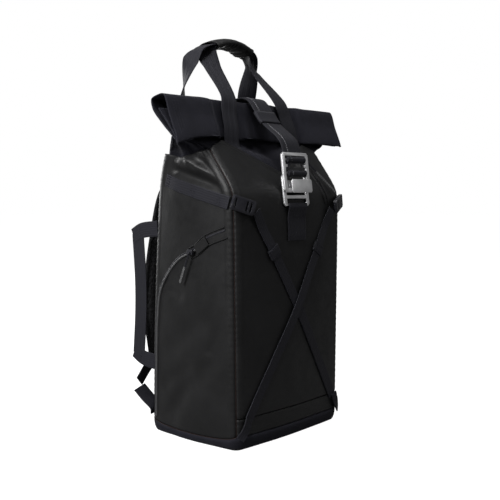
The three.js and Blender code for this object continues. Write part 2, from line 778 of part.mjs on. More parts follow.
// The webbing from the lower frame's bar down to its stitched end on the front panel.
function buildLowerStrap() {
  const stitchedEnd = kneeHeight - stitchedBelowKnee;
  const barDrop = lowerFrameStart + lowerFrameHeight - 2;
  const onLowerBar = webThickness / 2;
  const onFront = (z) => outlinePoint('front', 0, z, -seamGap - webThickness / 2 - 0.3);
  const under = onFront(buckleTopZ - barDrop - 8);
  const rows = [
    { at: strapHang(barDrop - 4.5, onLowerBar), facing: V(0, -1, buckleLean) },
    { at: strapHang(barDrop + 3, onLowerBar), facing: V(0, -1, buckleLean) },
    { at: strapHang(barDrop + 12, 0).lerp(under, 0.5), facing: V(0, -1, 0.1) },
    { at: onFront(kneeHeight - strapBelowKnee), facing: V(0, -1, 0) },
    { at: onFront(stitchedEnd), facing: V(0, -1, 0) },
  ];
  addPart('lower_strap', ribbon(smoothRows(rows, 8), centreStrapWidth, webThickness), 'webbing');
}

// Strips, clips and crossed straps

const STRIP_ROWS = [
  { place: 'back end', share: -0.7, z: 0.903 },
  { place: 'back', share: -0.35, z: 0.887 },
  { place: 'middle', share: 0.05, z: 0.869 },
  { place: 'front', share: 0.5, z: 0.847 },
  { place: 'corner', share: 0.8, z: 0.832 },
  { place: 'front end', share: 0.92, z: 0.826 },
];

function buildSideStrip(side) {
  const lift = seamGap + webThickness / 2 + 0.9;
  const rows = STRIP_ROWS.map((row) => onBag(side, row.share, row.z * rimHeight, lift));
  addPart(`side_strip_${side}`, ribbon(smoothRows(rows, 15), sideStripWidth, webThickness), 'webbing');
}

const clipLength = 44;
const clipHeight = 25;
const clipThickness = 6;
const clipTilt = 0.3;
const clipTurn = 0.37;
const clipPastCorner = 14;
const clipBelowKnee = 18.683;
const clipZ = kneeHeight - clipBelowKnee;

// A moulded clip with a hook loop at its outer end and two slots for the strap at its inner end. It goes round
// the front corner and down towards the middle, and rests against the corner's arc.
function buildClip(side, sign) {
  const half = clipHeight / 2;
  const across = ([x, y]) => [sign * x, y];
  const slot = (from) => rectangle(from, -half + 4, from + 3.6, half - 4).map(across);
  const outline = cutRectangle(0, -half, clipLength, half, 3).map(across);
  const body = plate(outline, [slot(4), slot(26), slot(33.5)], clipThickness);
  const clip = addPart(`strap_clip_${side}`, body, 'plastic');
  const out = V(-sign * Math.sin(clipTurn), -Math.cos(clipTurn), 0);
  const level = V(Math.cos(clipTurn), -sign * Math.sin(clipTurn), 0);
  const run = level.clone().multiplyScalar(Math.cos(clipTilt)).add(V(0, 0, -sign * Math.sin(clipTilt)));
  const up = V(0, 0, 0).crossVectors(out, run);
  clip.quaternion.setFromRotationMatrix(new THREE.Matrix4().makeBasis(run, up, out));
  clip.position.set(-sign * (halfWidth(clipZ) - cornerRadius), frontY(clipZ) + cornerRadius, clipZ);
  clip.position.addScaledVector(out, cornerRadius + 1.4).addScaledVector(level, -sign * clipPastCorner);
}

const anchorTop = { x: -118, z: 52 };
const strapTop = { x: -106, z: kneeHeight - 35.6 };
const sliderShare = 0.2;
const sliderLift = 1.3;
const frontSurface = (x, z, lift) => outlinePoint('front', faceShare(x, z), z, -lift);

// Lifts along a crossed strap, so that the second passes over the first.
function crossRows(sign, over) {
  const rows = [];
  const steps = 14;
  for (let i = 0; i <= steps; i += 1) {
    const share = i / steps;
    const x = sign * lerp(strapTop.x, -anchorTop.x, share);
    const z = lerp(strapTop.z, anchorTop.z, share);
    const crossing = Math.exp(-((x / 34) ** 2));
    const atClip = Math.exp(-((share / 0.05) ** 2)) * 5;
    const atSlider = Math.exp(-(((share - sliderShare) / 0.07) ** 2)) * sliderLift;
    const passing = over * crossing * (webThickness + 0.8);
    const lift = seamGap + webThickness / 2 + 0.6 + passing + atClip + atSlider;
    rows.push({ at: frontSurface(x, z, lift), facing: FACING.front });
  }
  return rows;
}

function buildCrossStrap(name, sign, over) {
  addPart(`cross_strap_${name}`, ribbon(crossRows(sign, over), crossStrapWidth, webThickness), 'webbing');
}

// A webbing slider that the strap threads, a quarter of the way down it.
function buildSlider(name, sign) {
  const rows = crossRows(sign, 0);
  const index = Math.round(sliderShare * (rows.length - 1));
  const along = rows[index + 1].at.clone().sub(rows[index - 1].at).normalize();
  const centre = rows[index];
  const span = [-9, 9].map((shift) => (
    { at: centre.at.clone().addScaledVector(along, shift), facing: FACING.front }
  ));
  const rings = (width, thickness) => span.map((row) => ribbonRing(row, along, width, thickness));
  const wide = crossStrapWidth;
  const loop = tube(rings(wide + 7, webThickness + 3), rings(wide + 2, webThickness + 1));
  addPart(`cross_slider_${name}`, loop, 'webbing');
}

// A stitched webbing anchor from the base's corner up to the crossed strap's lower end.
function buildAnchor(side, sign) {
  const lift = seamGap + webThickness / 2 + webThickness + 1.4;
  const top = { at: frontSurface(sign * -(anchorTop.x - 2), anchorTop.z + 4, lift), facing: FACING.front };
  const low = onBag('front', sign * 0.94, bootCornerHeight - 2, lift);
  const rows = [low, onBag('front', sign * 0.84, 36, lift), top];
  addPart(`strap_anchor_${side}`, ribbon(smoothRows(rows, 6), crossStrapWidth - 4, webThickness), 'webbing');
}

// Zips

// The left zip's line on the side panel, in shares from the back corner to the front seam and of the rim.
const SIDE_ZIP = [
  { place: 'front end', share: 0.84, z: 0.73 },
  { place: 'garage', share: 0.44, z: 0.701 },
  { place: 'slider', share: 0.2, z: 0.667 },
  { place: 'curve', share: -0.2, z: 0.632 },
  { place: 'curve down', share: -0.5, z: 0.578 },
  { place: 'at the back', share: -0.74, z: 0.51 },
  { place: 'back edge', share: -0.84, z: 0.412 },
  { place: 'low end', share: -0.86, z: 0.1 },
];

const zipWidth = 8;
const zipThickness = 1.6;
const zipLift = seamGap + zipThickness / 2 + 0.7;

function buildSideZip() {
  const rows = SIDE_ZIP.map((row) => onBag('left', row.share, row.z * rimHeight, zipLift));
  addPart('side_zip', ribbon(smoothRows(rows, 26), zipWidth, zipThickness), 'piping');
  const cover = zipLift + zipThickness / 2 + seamGap + 0.9;
  const ends = SIDE_ZIP.slice(0, 3).map((row) => onBag('left', row.share + 0.02, row.z * rimHeight, cover));
  addPart('side_zip_garage', ribbon(smoothRows(ends, 6), 21, 1.2), 'coated');
}

function buildSideSlider() {
  const { at } = onBag('left', 0.13, 0.66 * rimHeight, 5);
  const slider = addPart('side_zip_slider', new THREE.BoxGeometry(5, 13, 9), 'plastic');
  slider.position.copy(at).add(V(-0.6, 1.5, 0));
  const cord = [
    { at: V(at.x - 4.8, at.y + 2, at.z - 3), facing: FACING.left },
    { at: V(at.x - 4.6, at.y + 12, at.z - 28), facing: FACING.left },
    { at: V(at.x - 4.2, at.y + 22, at.z - 52), facing: FACING.left },
  ];
  addPart('side_zip_pull', ribbon(smoothRows(cord, 4), 5, 3), 'webbing');
}

// The pocket zip on the right of the leaning front.
const FRONT_ZIP = [
  { place: 'slider end', x: 0.5, z: 0.975 },
  { place: 'middle', x: 0.57, z: 0.91 },
  { place: 'knee', x: 0.62, z: 0.85 },
  { place: 'low end', x: 0.65, z: 0.82 },
];

function onFront(row, lift) {
  return frontSurface(row.x * bagWidth / 2, row.z * rimHeight, lift);
}

function buildFrontZip() {
  const facing = V(0, -1, 0.5).normalize();
  const rows = FRONT_ZIP.map((row) => ({ at: onFront(row, seamGap + 2.2), facing }));
  addPart('front_zip', ribbon(smoothRows(rows, 12), zipWidth, zipThickness), 'piping');
  const top = onFront(FRONT_ZIP[0], 6);
  const slider = addPart('front_zip_slider', new THREE.BoxGeometry(9, 3, 13), 'metal');
  slider.position.copy(top);
  slider.rotation.x = -Math.atan(frontSlope);
  const pull = [
    { at: onFront({ x: 0.505, z: 0.966 }, 10.1), facing: V(0, -1, 0.6).normalize() },
    { at: onFront({ x: 0.66, z: 0.9 }, 10), facing: V(0, -1, 0.4).normalize() },
    { at: onFront({ x: 0.8, z: 0.86 }, 10), facing: V(0, -1, 0.3).normalize() },
  ];
  addPart('front_zip_pull', ribbon(smoothRows(pull, 4), 5, 3), 'webbing');
}

// Side handle: flat webbing with mitred corners, standing out behind the left back edge.
const handleReach = 50;
const sideHandleTop = 358;
const sideHandleLow = 140;
const sideHandleTuck = 27;
const sideHandleInset = 5.5;
const sideHandleLevel = 0.625;

function buildSideHandle() {
  const inner = sideHandleInset - lerp(footWidth, bagWidth, sideHandleLevel) / 2;
  const seat = (z) => {
    const centre = -(halfWidth(z) - cornerRadius);
    return backY(z) - cornerRadius + Math.sqrt(cornerRadius ** 2 - (centre - inner) ** 2) + seamGap;
  };
  const out = backY(sideHandleLow) + handleReach;
  const topEnd = sideHandleTop + sideHandleTuck;
  const lowEnd = sideHandleLow - sideHandleTuck;
  const wide = sideHandleWidth;
  const bow = 8;
  const outline = [
    [seat(topEnd), topEnd], [out - 4, sideHandleTop + 4], [out, sideHandleTop],
    [out - bow, (sideHandleTop + sideHandleLow) / 2 + 20], [out - bow, (sideHandleTop + sideHandleLow) / 2 - 20],
    [out, sideHandleLow], [out - 4, sideHandleLow - 4], [seat(lowEnd), lowEnd],
    [seat(lowEnd), sideHandleLow + 2], [out - wide, sideHandleLow + 6],
    [out - wide - bow, (sideHandleTop + sideHandleLow) / 2 - 20],
    [out - wide - bow, (sideHandleTop + sideHandleLow) / 2 + 20],
    [out - wide, sideHandleTop - 4], [seat(sideHandleTop - 1), sideHandleTop - 1],
  ];
  const handle = addPart('side_handle', plate(outline, [], sideHandleThickness), 'webbing');
  handle.quaternion.setFromRotationMatrix(new THREE.Matrix4().makeBasis(V(0, 1, 0), V(0, 0, 1), V(1, 0, 0)));
  handle.position.x = inner - sideHandleThickness;
}

// Back: padded panel, shoulder straps, webbing and wings

function buildBackPad() {
  const steps = 8;
  const columns = 8;
  const grid = (lift, inset) => {
    const result = [];
    for (let r = 0; r <= steps; r += 1) {
      const z = lerp(padFoot + inset, padTop - inset, r / steps);
      const line = [];
      for (let c = 0; c <= columns; c += 1) {
        const x = lerp(-padWidth / 2 + inset, padWidth / 2 - inset, c / columns);
        const roundness = (1 - (2 * r / steps - 1) ** 8) * (1 - (2 * c / columns - 1) ** 8);
        const thick = lift * (0.35 + 0.65 * roundness) * (Math.abs(x) < padWidth * 0.09 ? 0.7 : 1);
        line.push(V(x, outlinePoint('back', faceShare(x, z), z, -seamGap - thick).y, z));
      }
      result.push(line);
    }
    return result;
  };
  addPart('back_pad', thickSheet(grid(padThickness, 3), grid(0, 0)), 'mesh');
}

// A shoulder strap from the yoke down to its webbing end, in shares of the rim height and half the width.
const SHOULDER_LINE = [
  { place: 'yoke', x: 0.42, out: 8.7, z: 0.9 },
  { place: 'shoulder', x: 0.44, out: 42, z: 0.87 },
  { place: 'chest', x: 0.47, out: 62, z: 0.68 },
  { place: 'rib', x: 0.55, out: 60, z: 0.45 },
  { place: 'lower end', x: 0.66, out: 36, z: 0.26 },
];

const wingGap = 6.5;

function buildShoulder(side, sign) {
  const rows = smoothRows(SHOULDER_LINE.map((row) => ({
    at: V(sign * row.x * bagWidth / 2, backY(row.z * rimHeight) + row.out, row.z * rimHeight),
    facing: V(0, 1, 0.15).normalize(),
  })), 14);
  const along = tangents(rows);
  addPart(`shoulder_strap_${side}`, loft(rows.map((row, i) => {
    const taper = i > 11 ? lerp(1, 0.6, (i - 11) / 3) : 1;
    return ovalRing(row, along[i], shoulderWidth * taper, shoulderThickness, 10);
  })), 'mesh');
  const foot = rows[rows.length - 1].at;
  const wing = V(sign * 0.94 * bagWidth / 2, backY(80) + 34, 80);
  const web = [
    { at: foot.clone().addScaledVector(along[along.length - 1], 8), facing: V(0, 1, 0) },
    { at: foot.clone().lerp(wing, 0.5).add(V(0, 2, 0)), facing: V(0, 1, 0.3).normalize() },
    { at: wing.clone().add(V(0, 0, wingGap)), facing: V(0, 1, 0.3).normalize() },
  ];
  addPart(`shoulder_web_${side}`, ribbon(smoothRows(web, 6), harnessWebWidth, webThickness), 'webbing');
  const rootLift = seamGap + webThickness / 2 + 0.2;
  const root = onBag('back', sign * 0.84, 30, rootLift);
  const tab = [
    root,
    onBag('back', sign * 0.85, 40, rootLift + 1),
    { at: root.at.clone().lerp(wing, 0.55), facing: V(0, 1, -0.5).normalize() },
    { at: wing.clone().add(V(0, 0, -wingGap)), facing: V(0, 1, -0.6).normalize() },
  ];
  addPart(`strap_wing_${side}`, ribbon(smoothRows(tab, 6), harnessWebWidth + 6, webThickness), 'webbing');
}

buildPanels();
buildBoot();
buildRoll();
buildCollar();
buildFrontHandle();
buildRearHandle();
buildHandleWrap();
buildCentreStrap();
buildBuckleFrame();
buildBarWraps();
buildHookPlate();
buildLowerFrame();
buildLowerStrap();
buildSideStrip('left');
buildSideStrip('right');
buildClip('left', 1);
buildClip('right', -1);
buildCrossStrap('a', 1, 0);
buildCrossStrap('b', -1, 1);
buildSlider('a', 1);
buildSlider('b', -1);
buildAnchor('left', -1);
buildAnchor('right', 1);
buildSideZip();
buildSideSlider();
buildFrontZip();
buildSideHandle();
buildBackPad();
buildShoulder('left', -1);
buildShoulder('right', 1);

export default group;
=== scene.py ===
# %% [markdown]
# # A rolltop backpack
# The bag is a soft box of coated cloth whose canvas collar is rolled shut and strapped down. Every soft piece is
# laid over the fixed frame as a fine surface of its own, and the hard fittings get softened edges. The whole
# scene is in metres, with +Z up and the front facing -Y.

# %% The frame
import math

import bmesh
import bpy
from mathutils import Matrix, Vector, noise


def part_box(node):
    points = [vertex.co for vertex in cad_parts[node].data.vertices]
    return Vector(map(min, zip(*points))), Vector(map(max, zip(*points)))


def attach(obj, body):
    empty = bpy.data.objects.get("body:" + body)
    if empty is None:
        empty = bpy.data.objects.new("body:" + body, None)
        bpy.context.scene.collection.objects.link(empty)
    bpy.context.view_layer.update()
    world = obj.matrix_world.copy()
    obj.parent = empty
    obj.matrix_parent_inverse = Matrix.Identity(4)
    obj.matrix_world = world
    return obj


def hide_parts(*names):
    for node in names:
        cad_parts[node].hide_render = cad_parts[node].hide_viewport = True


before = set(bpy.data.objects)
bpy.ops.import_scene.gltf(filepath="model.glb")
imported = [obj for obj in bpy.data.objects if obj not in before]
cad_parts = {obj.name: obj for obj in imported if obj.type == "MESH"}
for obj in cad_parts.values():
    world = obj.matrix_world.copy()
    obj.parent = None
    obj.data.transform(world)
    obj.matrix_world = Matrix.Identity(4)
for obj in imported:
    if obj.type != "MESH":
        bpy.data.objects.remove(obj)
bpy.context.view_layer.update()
print("frame nodes", len(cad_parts))

# %% [markdown]
# ## Camera, floor and light
# The camera stands at the front left corner, a little below the bag's rim, and looks slightly down. The lights
# are large and soft, because coated cloth shows its shape only through broad, dim highlights.

# %% Camera, floor and light
CAMERA_PLACE = Vector((-1.1601, -1.0355, 0.4402))
CAMERA_AHEAD = Vector((0.7471, 0.6646, 0))
CAMERA_PITCH = math.radians(4.09)
CAMERA_LENS = 60.5


def look(direction):
    return direction.to_track_quat("-Z", "Y")


def add_camera():
    camera = bpy.data.objects.new("camera", bpy.data.cameras.new("camera"))
    bpy.context.scene.collection.objects.link(camera)
    camera.data.lens = CAMERA_LENS
    camera.location = CAMERA_PLACE
    camera.rotation_mode = "QUATERNION"
    ahead = CAMERA_AHEAD.normalized() * math.cos(CAMERA_PITCH) - Vector((0, 0, math.sin(CAMERA_PITCH)))
    camera.rotation_quaternion = look(ahead)
    bpy.context.scene.camera = camera


def add_light(name, place, target, size, power):
    light = bpy.data.lights.new(name, "AREA")
    light.shape, light.size, light.energy = "DISK", size, power
    lamp = bpy.data.objects.new(name, light)
    bpy.context.scene.collection.objects.link(lamp)
    lamp.location = place
    lamp.rotation_mode = "QUATERNION"
    lamp.rotation_quaternion = look(Vector(target) - Vector(place))


FLOOR_HALF = 12.0
FLOOR_GLOW = (0.95, 0.0)
WORLD_STRENGTH = (1.0, 0.26)
BAG_MIDDLE = (0, 0, 0.32)


def as_seen(tree, seen, unseen):
    """A strength with one value where the camera looks and another where it lights the bag."""
    path = tree.nodes.new("ShaderNodeLightPath")
    pick = tree.nodes.new("ShaderNodeMapRange")
    tree.links.new(path.outputs["Is Camera Ray"], pick.inputs["Value"])
    pick.inputs["To Min"].default_value = unseen
    pick.inputs["To Max"].default_value = seen
    return pick.outputs["Result"]


def add_floor():
    mesh = bmesh.new()
    bmesh.ops.create_grid(mesh, x_segments=1, y_segments=1, size=FLOOR_HALF)
    data = bpy.data.meshes.new("floor")
    mesh.to_mesh(data)
    mesh.free()
    floor = bpy.data.objects.new("floor", data)
    bpy.context.scene.collection.objects.link(floor)
    paint = bpy.data.materials.new("white_floor")
    paint.use_nodes = True
    shader = paint.node_tree.nodes["Principled BSDF"]
    shader.inputs["Base Color"].default_value = (0.2, 0.2, 0.2, 1)
    shader.inputs["Roughness"].default_value = 1.0
    shader.inputs["Specular IOR Level"].default_value = 0.0
    shader.inputs["Emission Color"].default_value = (1, 1, 1, 1)
    paint.node_tree.links.new(as_seen(paint.node_tree, *FLOOR_GLOW), shader.inputs["Emission Strength"])
    data.materials.append(paint)


def add_world():
    world = bpy.data.worlds.new("studio")
    world.use_nodes = True
    world.node_tree.nodes["Background"].inputs["Color"].default_value = (1, 1, 1, 1)
    background = world.node_tree.nodes["Background"]
    world.node_tree.links.new(as_seen(world.node_tree, *WORLD_STRENGTH), background.inputs["Strength"])
    bpy.context.scene.world = world
    bpy.context.scene.view_settings.view_transform = "Standard"


add_camera()
add_floor()
add_world()
add_light("key", (-2.2, 0.1, 1.5), (-0.15, 0, 0.45), 1.0, 105)
add_light("rake", (-0.7, -0.5, 1.9), (-0.15, -0.05, 0.45), 0.4, 14)
add_light("front", (0.9, -2.4, 2.0), BAG_MIDDLE, 1.2, 12)
add_light("top", (-0.3, -0.2, 2.6), BAG_MIDDLE, 1.6, 30)
add_light("behind", (0.2, 2.7, 0.9), BAG_MIDDLE, 1.6, 45)
add_light("right", (2.4, 1.9, 0.8), BAG_MIDDLE, 1.4, 30)
print("camera lens", CAMERA_LENS)

# %% [markdown]
# ## Finishes
# Each finish is a small node graph on the shader. Cloth reads its pattern from the piece's own UV map, which is
# in metres, so the weave keeps its real size and follows every fold. Metal and moulded parts read object
# coordinates.

# %% Finish helpers


def finish(name, colour, roughness, metallic=0.0):
    material = bpy.data.materials.new(name)
    material.use_nodes = True
    shader = material.node_tree.nodes["Principled BSDF"]
    shader.inputs["Base Color"].default_value = (*colour, 1)
    shader.inputs["Roughness"].default_value = roughness
    shader.inputs["Metallic"].default_value = metallic
    return material, material.node_tree, shader


def add(tree, kind, settings=(), **inputs):
    """A new node, with its settings and its inputs filled in. An input that is a socket is linked."""
    node = tree.nodes.new(kind)
    for key, value in dict(settings).items():
        setattr(node, key, value)
    for key, value in inputs.items():
        socket = node.inputs[key.replace("_", " ")]
        if isinstance(value, bpy.types.NodeSocket):
            tree.links.new(value, socket)
        else:
            socket.default_value = value
    return node


def pattern_space(tree, by_surface):
    return add(tree, "ShaderNodeTexCoord").outputs["UV" if by_surface else "Object"]


def cloudy(tree, space, per_metre, detail=3.0):
    return add(tree, "ShaderNodeTexNoise", Vector=space, Scale=per_metre, Detail=detail).outputs["Fac"]


def spread_over(tree, value, low, high, from_low=0.3, from_high=0.7):
    node = add(tree, "ShaderNodeMapRange", Value=value)
    node.inputs["From Min"].default_value = from_low
    node.inputs["From Max"].default_value = from_high
    node.inputs["To Min"].default_value = low
    node.inputs["To Max"].default_value = high
    return node.outputs["Result"]


def tint(tree, shader, value, dark, light):
    ramp = add(tree, "ShaderNodeValToRGB", Fac=value)
    ramp.color_ramp.elements[0].position = 0.3
    ramp.color_ramp.elements[0].color = (*dark, 1)
    ramp.color_ramp.elements[1].position = 0.7
    ramp.color_ramp.elements[1].color = (*light, 1)
    tree.links.new(ramp.outputs["Color"], shader.inputs["Base Color"])


def raise_by(tree, shader, height, distance, strength=1.0, under=None):
    inputs = {"Height": height, "Distance": distance, "Strength": strength}
    if under is not None:
        inputs["Normal"] = under
    bump = add(tree, "ShaderNodeBump", **inputs)
    tree.links.new(bump.outputs["Normal"], shader.inputs["Normal"])
    return bump.outputs["Normal"]


WAVE_PERIOD = math.pi / 10


def threads(tree, space, direction, pitch):
    """Bands a pitch apart, across one direction of the pattern."""
    settings = {"wave_type": "BANDS", "bands_direction": direction}
    return add(tree, "ShaderNodeTexWave", settings, Vector=space, Scale=WAVE_PERIOD / pitch).outputs["Fac"]


def combine(tree, operation, a, b):
    node = tree.nodes.new("ShaderNodeMath")
    node.operation = operation
    for socket, value in zip(node.inputs, (a, b)):
        if isinstance(value, bpy.types.NodeSocket):
            tree.links.new(value, socket)
        else:
            socket.default_value = value
    return node.outputs["Value"]


# %% Cloth and webbing finishes


def coated_cloth():
    material, tree, shader = finish("coated_cloth", (0.006, 0.006, 0.006), 0.46)
    space = pattern_space(tree, True)
    shader.inputs["Specular IOR Level"].default_value = 0.13
    tint(tree, shader, cloudy(tree, space, 14), (0.0050, 0.0050, 0.0052), (0.0080, 0.0080, 0.0083))
    rough = spread_over(tree, cloudy(tree, space, 60, 5), 0.38, 0.52)
    tree.links.new(rough, shader.inputs["Roughness"])
    grain = raise_by(tree, shader, cloudy(tree, space, 1500, 2), 0.00012, 0.5)
    raise_by(tree, shader, cloudy(tree, space, 45, 2), 0.0012, 0.35, grain)
    return material


CANVAS_PITCH = 0.0009


def canvas():
    material, tree, shader = finish("canvas", (0.005, 0.005, 0.008), 0.85)
    space = pattern_space(tree, True)
    shader.inputs["Specular IOR Level"].default_value = 0.14
    tint(tree, shader, cloudy(tree, space, 35, 5), (0.0040, 0.0040, 0.0066), (0.0068, 0.0068, 0.0105))
    weave = combine(tree, "MULTIPLY", threads(tree, space, "X", CANVAS_PITCH), threads(tree, space, "Y", CANVAS_PITCH))
    shader.inputs["Sheen Weight"].default_value = 0.03
    shader.inputs["Sheen Roughness"].default_value = 0.4
    shader.inputs["Sheen Tint"].default_value = (0.6, 0.6, 0.72, 1)
    woven = raise_by(tree, shader, weave, 0.00025, 0.5)
    raise_by(tree, shader, cloudy(tree, space, 70, 3), 0.0016, 0.4, woven)
    return material


WEBBING_RIB = 0.0040
WEBBING_PICK = 0.0016


def webbing(name="webbing", dark=(0.0038, 0.0038, 0.0060), light=(0.0058, 0.0058, 0.0090)):
    material, tree, shader = finish(name, light, 0.72)
    shader.inputs["Specular IOR Level"].default_value = 0.18
    space = pattern_space(tree, True)
    ribs = threads(tree, space, "X", WEBBING_RIB)
    picks = combine(tree, "MULTIPLY", threads(tree, space, "DIAGONAL", WEBBING_PICK), 0.35)
    height = combine(tree, "ADD", ribs, picks)
    tint(tree, shader, ribs, dark, light)
    shader.inputs["Sheen Weight"].default_value = 0.02
    shader.inputs["Sheen Roughness"].default_value = 0.4
    woven = raise_by(tree, shader, height, 0.00022, 0.6)
    raise_by(tree, shader, cloudy(tree, space, 90, 3), 0.0008, 0.3, woven)
    return material


def spacer_mesh():
    material, tree, shader = finish("spacer_mesh", (0.010, 0.010, 0.011), 0.9)
    space = pattern_space(tree, True)
    cells = add(tree, "ShaderNodeTexVoronoi", Vector=space, Scale=320.0).outputs["Distance"]
    shader.inputs["Specular IOR Level"].default_value = 0.2
    tint(tree, shader, cells, (0.009, 0.009, 0.010), (0.003, 0.003, 0.0035))
    shader.inputs["Sheen Weight"].default_value = 0.02
    raise_by(tree, shader, cells, 0.0012, 0.8)
    return material


def thread(name, colour):
    material, tree, shader = finish(name, colour, 0.7)
    shader.inputs["Specular IOR Level"].default_value = 0.2
    space = pattern_space(tree, False)
    raise_by(tree, shader, cloudy(tree, space, 2500, 2), 0.0002, 0.5)
    return material


# %% Metal, moulded and piping finishes
BRUSH_STRETCH = (60.0, 1800.0, 1800.0)


def buckle_metal():
    material, tree, shader = finish("buckle_metal", (0.62, 0.62, 0.63), 0.38, 1.0)
    space = pattern_space(tree, False)
    stretched = add(tree, "ShaderNodeMapping", Vector=space, Scale=BRUSH_STRETCH).outputs["Vector"]
    brushed = cloudy(tree, stretched, 1.0, 2)
    tree.links.new(spread_over(tree, brushed, 0.30, 0.46), shader.inputs["Roughness"])
    tint(tree, shader, cloudy(tree, space, 55), (0.56, 0.56, 0.57), (0.70, 0.70, 0.71))
    raise_by(tree, shader, brushed, 0.00004, 0.5)
    return material


def moulded():
    material, tree, shader = finish("moulded", (0.008, 0.008, 0.009), 0.42)
    space = pattern_space(tree, False)
    shader.inputs["Specular IOR Level"].default_value = 0.2
    tint(tree, shader, cloudy(tree, space, 40), (0.006, 0.006, 0.008), (0.010, 0.010, 0.013))
    tree.links.new(spread_over(tree, cloudy(tree, space, 220), 0.34, 0.52), shader.inputs["Roughness"])
    raise_by(tree, shader, cloudy(tree, space, 2600, 2), 0.0001, 0.5)
    return material


def piping():
    # The pale grey base colour is partly the piping's own tone and partly a painted highlight along the side zip's
    # rounded lip.
    material, tree, shader = finish("piping", (0.022, 0.022, 0.023), 0.46)
    space = pattern_space(tree, True)
    tint(tree, shader, cloudy(tree, space, 50), (0.020, 0.020, 0.021), (0.030, 0.030, 0.031))
    raise_by(tree, shader, cloudy(tree, space, 900, 2), 0.0002, 0.4)
    return material


COATED = coated_cloth()
CANVAS = canvas()
WEBBING = webbing()
SPACER = spacer_mesh()
METAL = buckle_metal()
MOULDED = moulded()
PALE_PIPING_AND_PAINTED_HIGHLIGHT = piping()
DARK_THREAD = thread("dark_thread", (0.010, 0.010, 0.014))
PALE_THREAD = thread("pale_thread", (0.16, 0.16, 0.17))
BROWN_THREAD = thread("brown_thread", (0.010, 0.004, 0.003))

# %% [markdown]
# ## Surfaces and straps
# A soft piece starts as a flat grid. Each point of the grid is then put in its place by a function of two shares,
# along and across, which keeps folds smooth and gives the UV map its real size. A strap is the same grid closed
# into a flat sleeve that travels along a smooth line.

# %% Surface helpers
SMOOTH_BELOW = math.radians(38)


def lerp(a, b, share):
    return a + (b - a) * share


def clamp(value, low, high):
    return max(low, min(high, value))


def bell(distance, spread):
    return math.exp(-((distance / spread) ** 2))


def line_distance(spot, start, end):
    """How far a flat place is from a straight piece of line."""
    run = (end[0] - start[0], end[1] - start[1])
    along = (spot[0] - start[0]) * run[0] + (spot[1] - start[1]) * run[1]
    share = clamp(along / (run[0] ** 2 + run[1] ** 2), 0, 1)
    return math.hypot(spot[0] - start[0] - share * run[0], spot[1] - start[1] - share * run[1])


def new_piece(name, mesh, material, *nodes, wall=0.0, offset=-1.0):
    """Turns a bmesh into a piece of the bag that stands for the given frame nodes."""
    data = bpy.data.meshes.new(name)
    mesh.to_mesh(data)
    mesh.free()
    data.materials.append(material)
    data.shade_smooth()
    data.set_sharp_from_angle(angle=SMOOTH_BELOW)
    piece = bpy.data.objects.new(name, data)
    bpy.context.scene.collection.objects.link(piece)
    if wall:
        cloth = piece.modifiers.new("cloth_thickness", "SOLIDIFY")
        cloth.thickness, cloth.offset = wall, offset
    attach(piece, "root")
    if nodes:
        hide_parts(*nodes)
    print(name, len(data.polygons), "faces")
    return piece


def laid_grid(columns, rows, place, chart):
    """A grid whose points are put by place(u, v) and whose UV map, in metres, is chart(u, v)."""
    mesh = bmesh.new()
    bmesh.ops.create_grid(mesh, x_segments=columns, y_segments=rows, size=0.5)
    weave = mesh.loops.layers.uv.new("weave")
    for face in mesh.faces:
        for corner in face.loops:
            corner[weave].uv = chart(corner.vert.co.x + 0.5, corner.vert.co.y + 0.5)
    for point in mesh.verts:
        point.co = place(point.co.x + 0.5, point.co.y + 0.5)
    return mesh


def face_away(mesh, centre):
    """Turns an open surface so that its front looks away from a place inside it."""
    mesh.normal_update()
    turned = sum(face.normal.dot(face.calc_center_median() - centre) for face in mesh.faces)
    if turned < 0:
        bmesh.ops.reverse_faces(mesh, faces=mesh.faces)


def close_up(mesh):
    """Joins the seam of a sleeve, fills its ends and turns its faces outwards."""
    bmesh.ops.remove_doubles(mesh, verts=mesh.verts, dist=1e-6)
    edges = [edge for edge in mesh.edges if edge.is_boundary]
    if edges:
        bmesh.ops.holes_fill(mesh, edges=edges, sides=0)
    bmesh.ops.recalc_face_normals(mesh, faces=mesh.faces)


def spline(points, share):
    """A place on a centripetal Catmull-Rom curve through the points; share runs from 0 to 1."""
    place = min(share * (len(points) - 1), len(points) - 1 - 1e-9)
    index = int(place)
    t = place - index
    b, c = points[index], points[index + 1]
    a = points[index - 1] if index > 0 else 2 * b - c
    d = points[index + 2] if index + 2 < len(points) else 2 * c - b
    before, here, after = ((q - p).length ** 0.5 or 1 for p, q in ((a, b), (b, c), (c, d)))
    start = ((b - a) / before - (c - a) / (before + here) + (c - b) / here) * here
    end = ((c - b) / here - (d - b) / (here + after) + (d - c) / after) * here
    return b + t * start + t * t * (3 * (c - b) - 2 * start - end) + t**3 * (2 * (b - c) + start + end)


def travel(rows, steps):
    """Frames along a smooth line through rows of (place, facing): place, along, across and lift."""
    places = [spline([at for at, _ in rows], i / steps) for i in range(steps + 1)]
    frames = []
    for i, at in enumerate(places):
        step = min(i / steps * (len(rows) - 1), len(rows) - 1 - 1e-9)
        facing = rows[int(step)][1].lerp(rows[int(step) + 1][1], step - int(step)).normalized()
        along = (places[min(i + 1, steps)] - places[max(i - 1, 0)]).normalized()
        across = facing.cross(along).normalized()
        frames.append((at, along, across, along.cross(across).normalized()))
    return frames


# %% Strap helpers
STRAP_FACETS = 18
EDGE_FACETS = 3


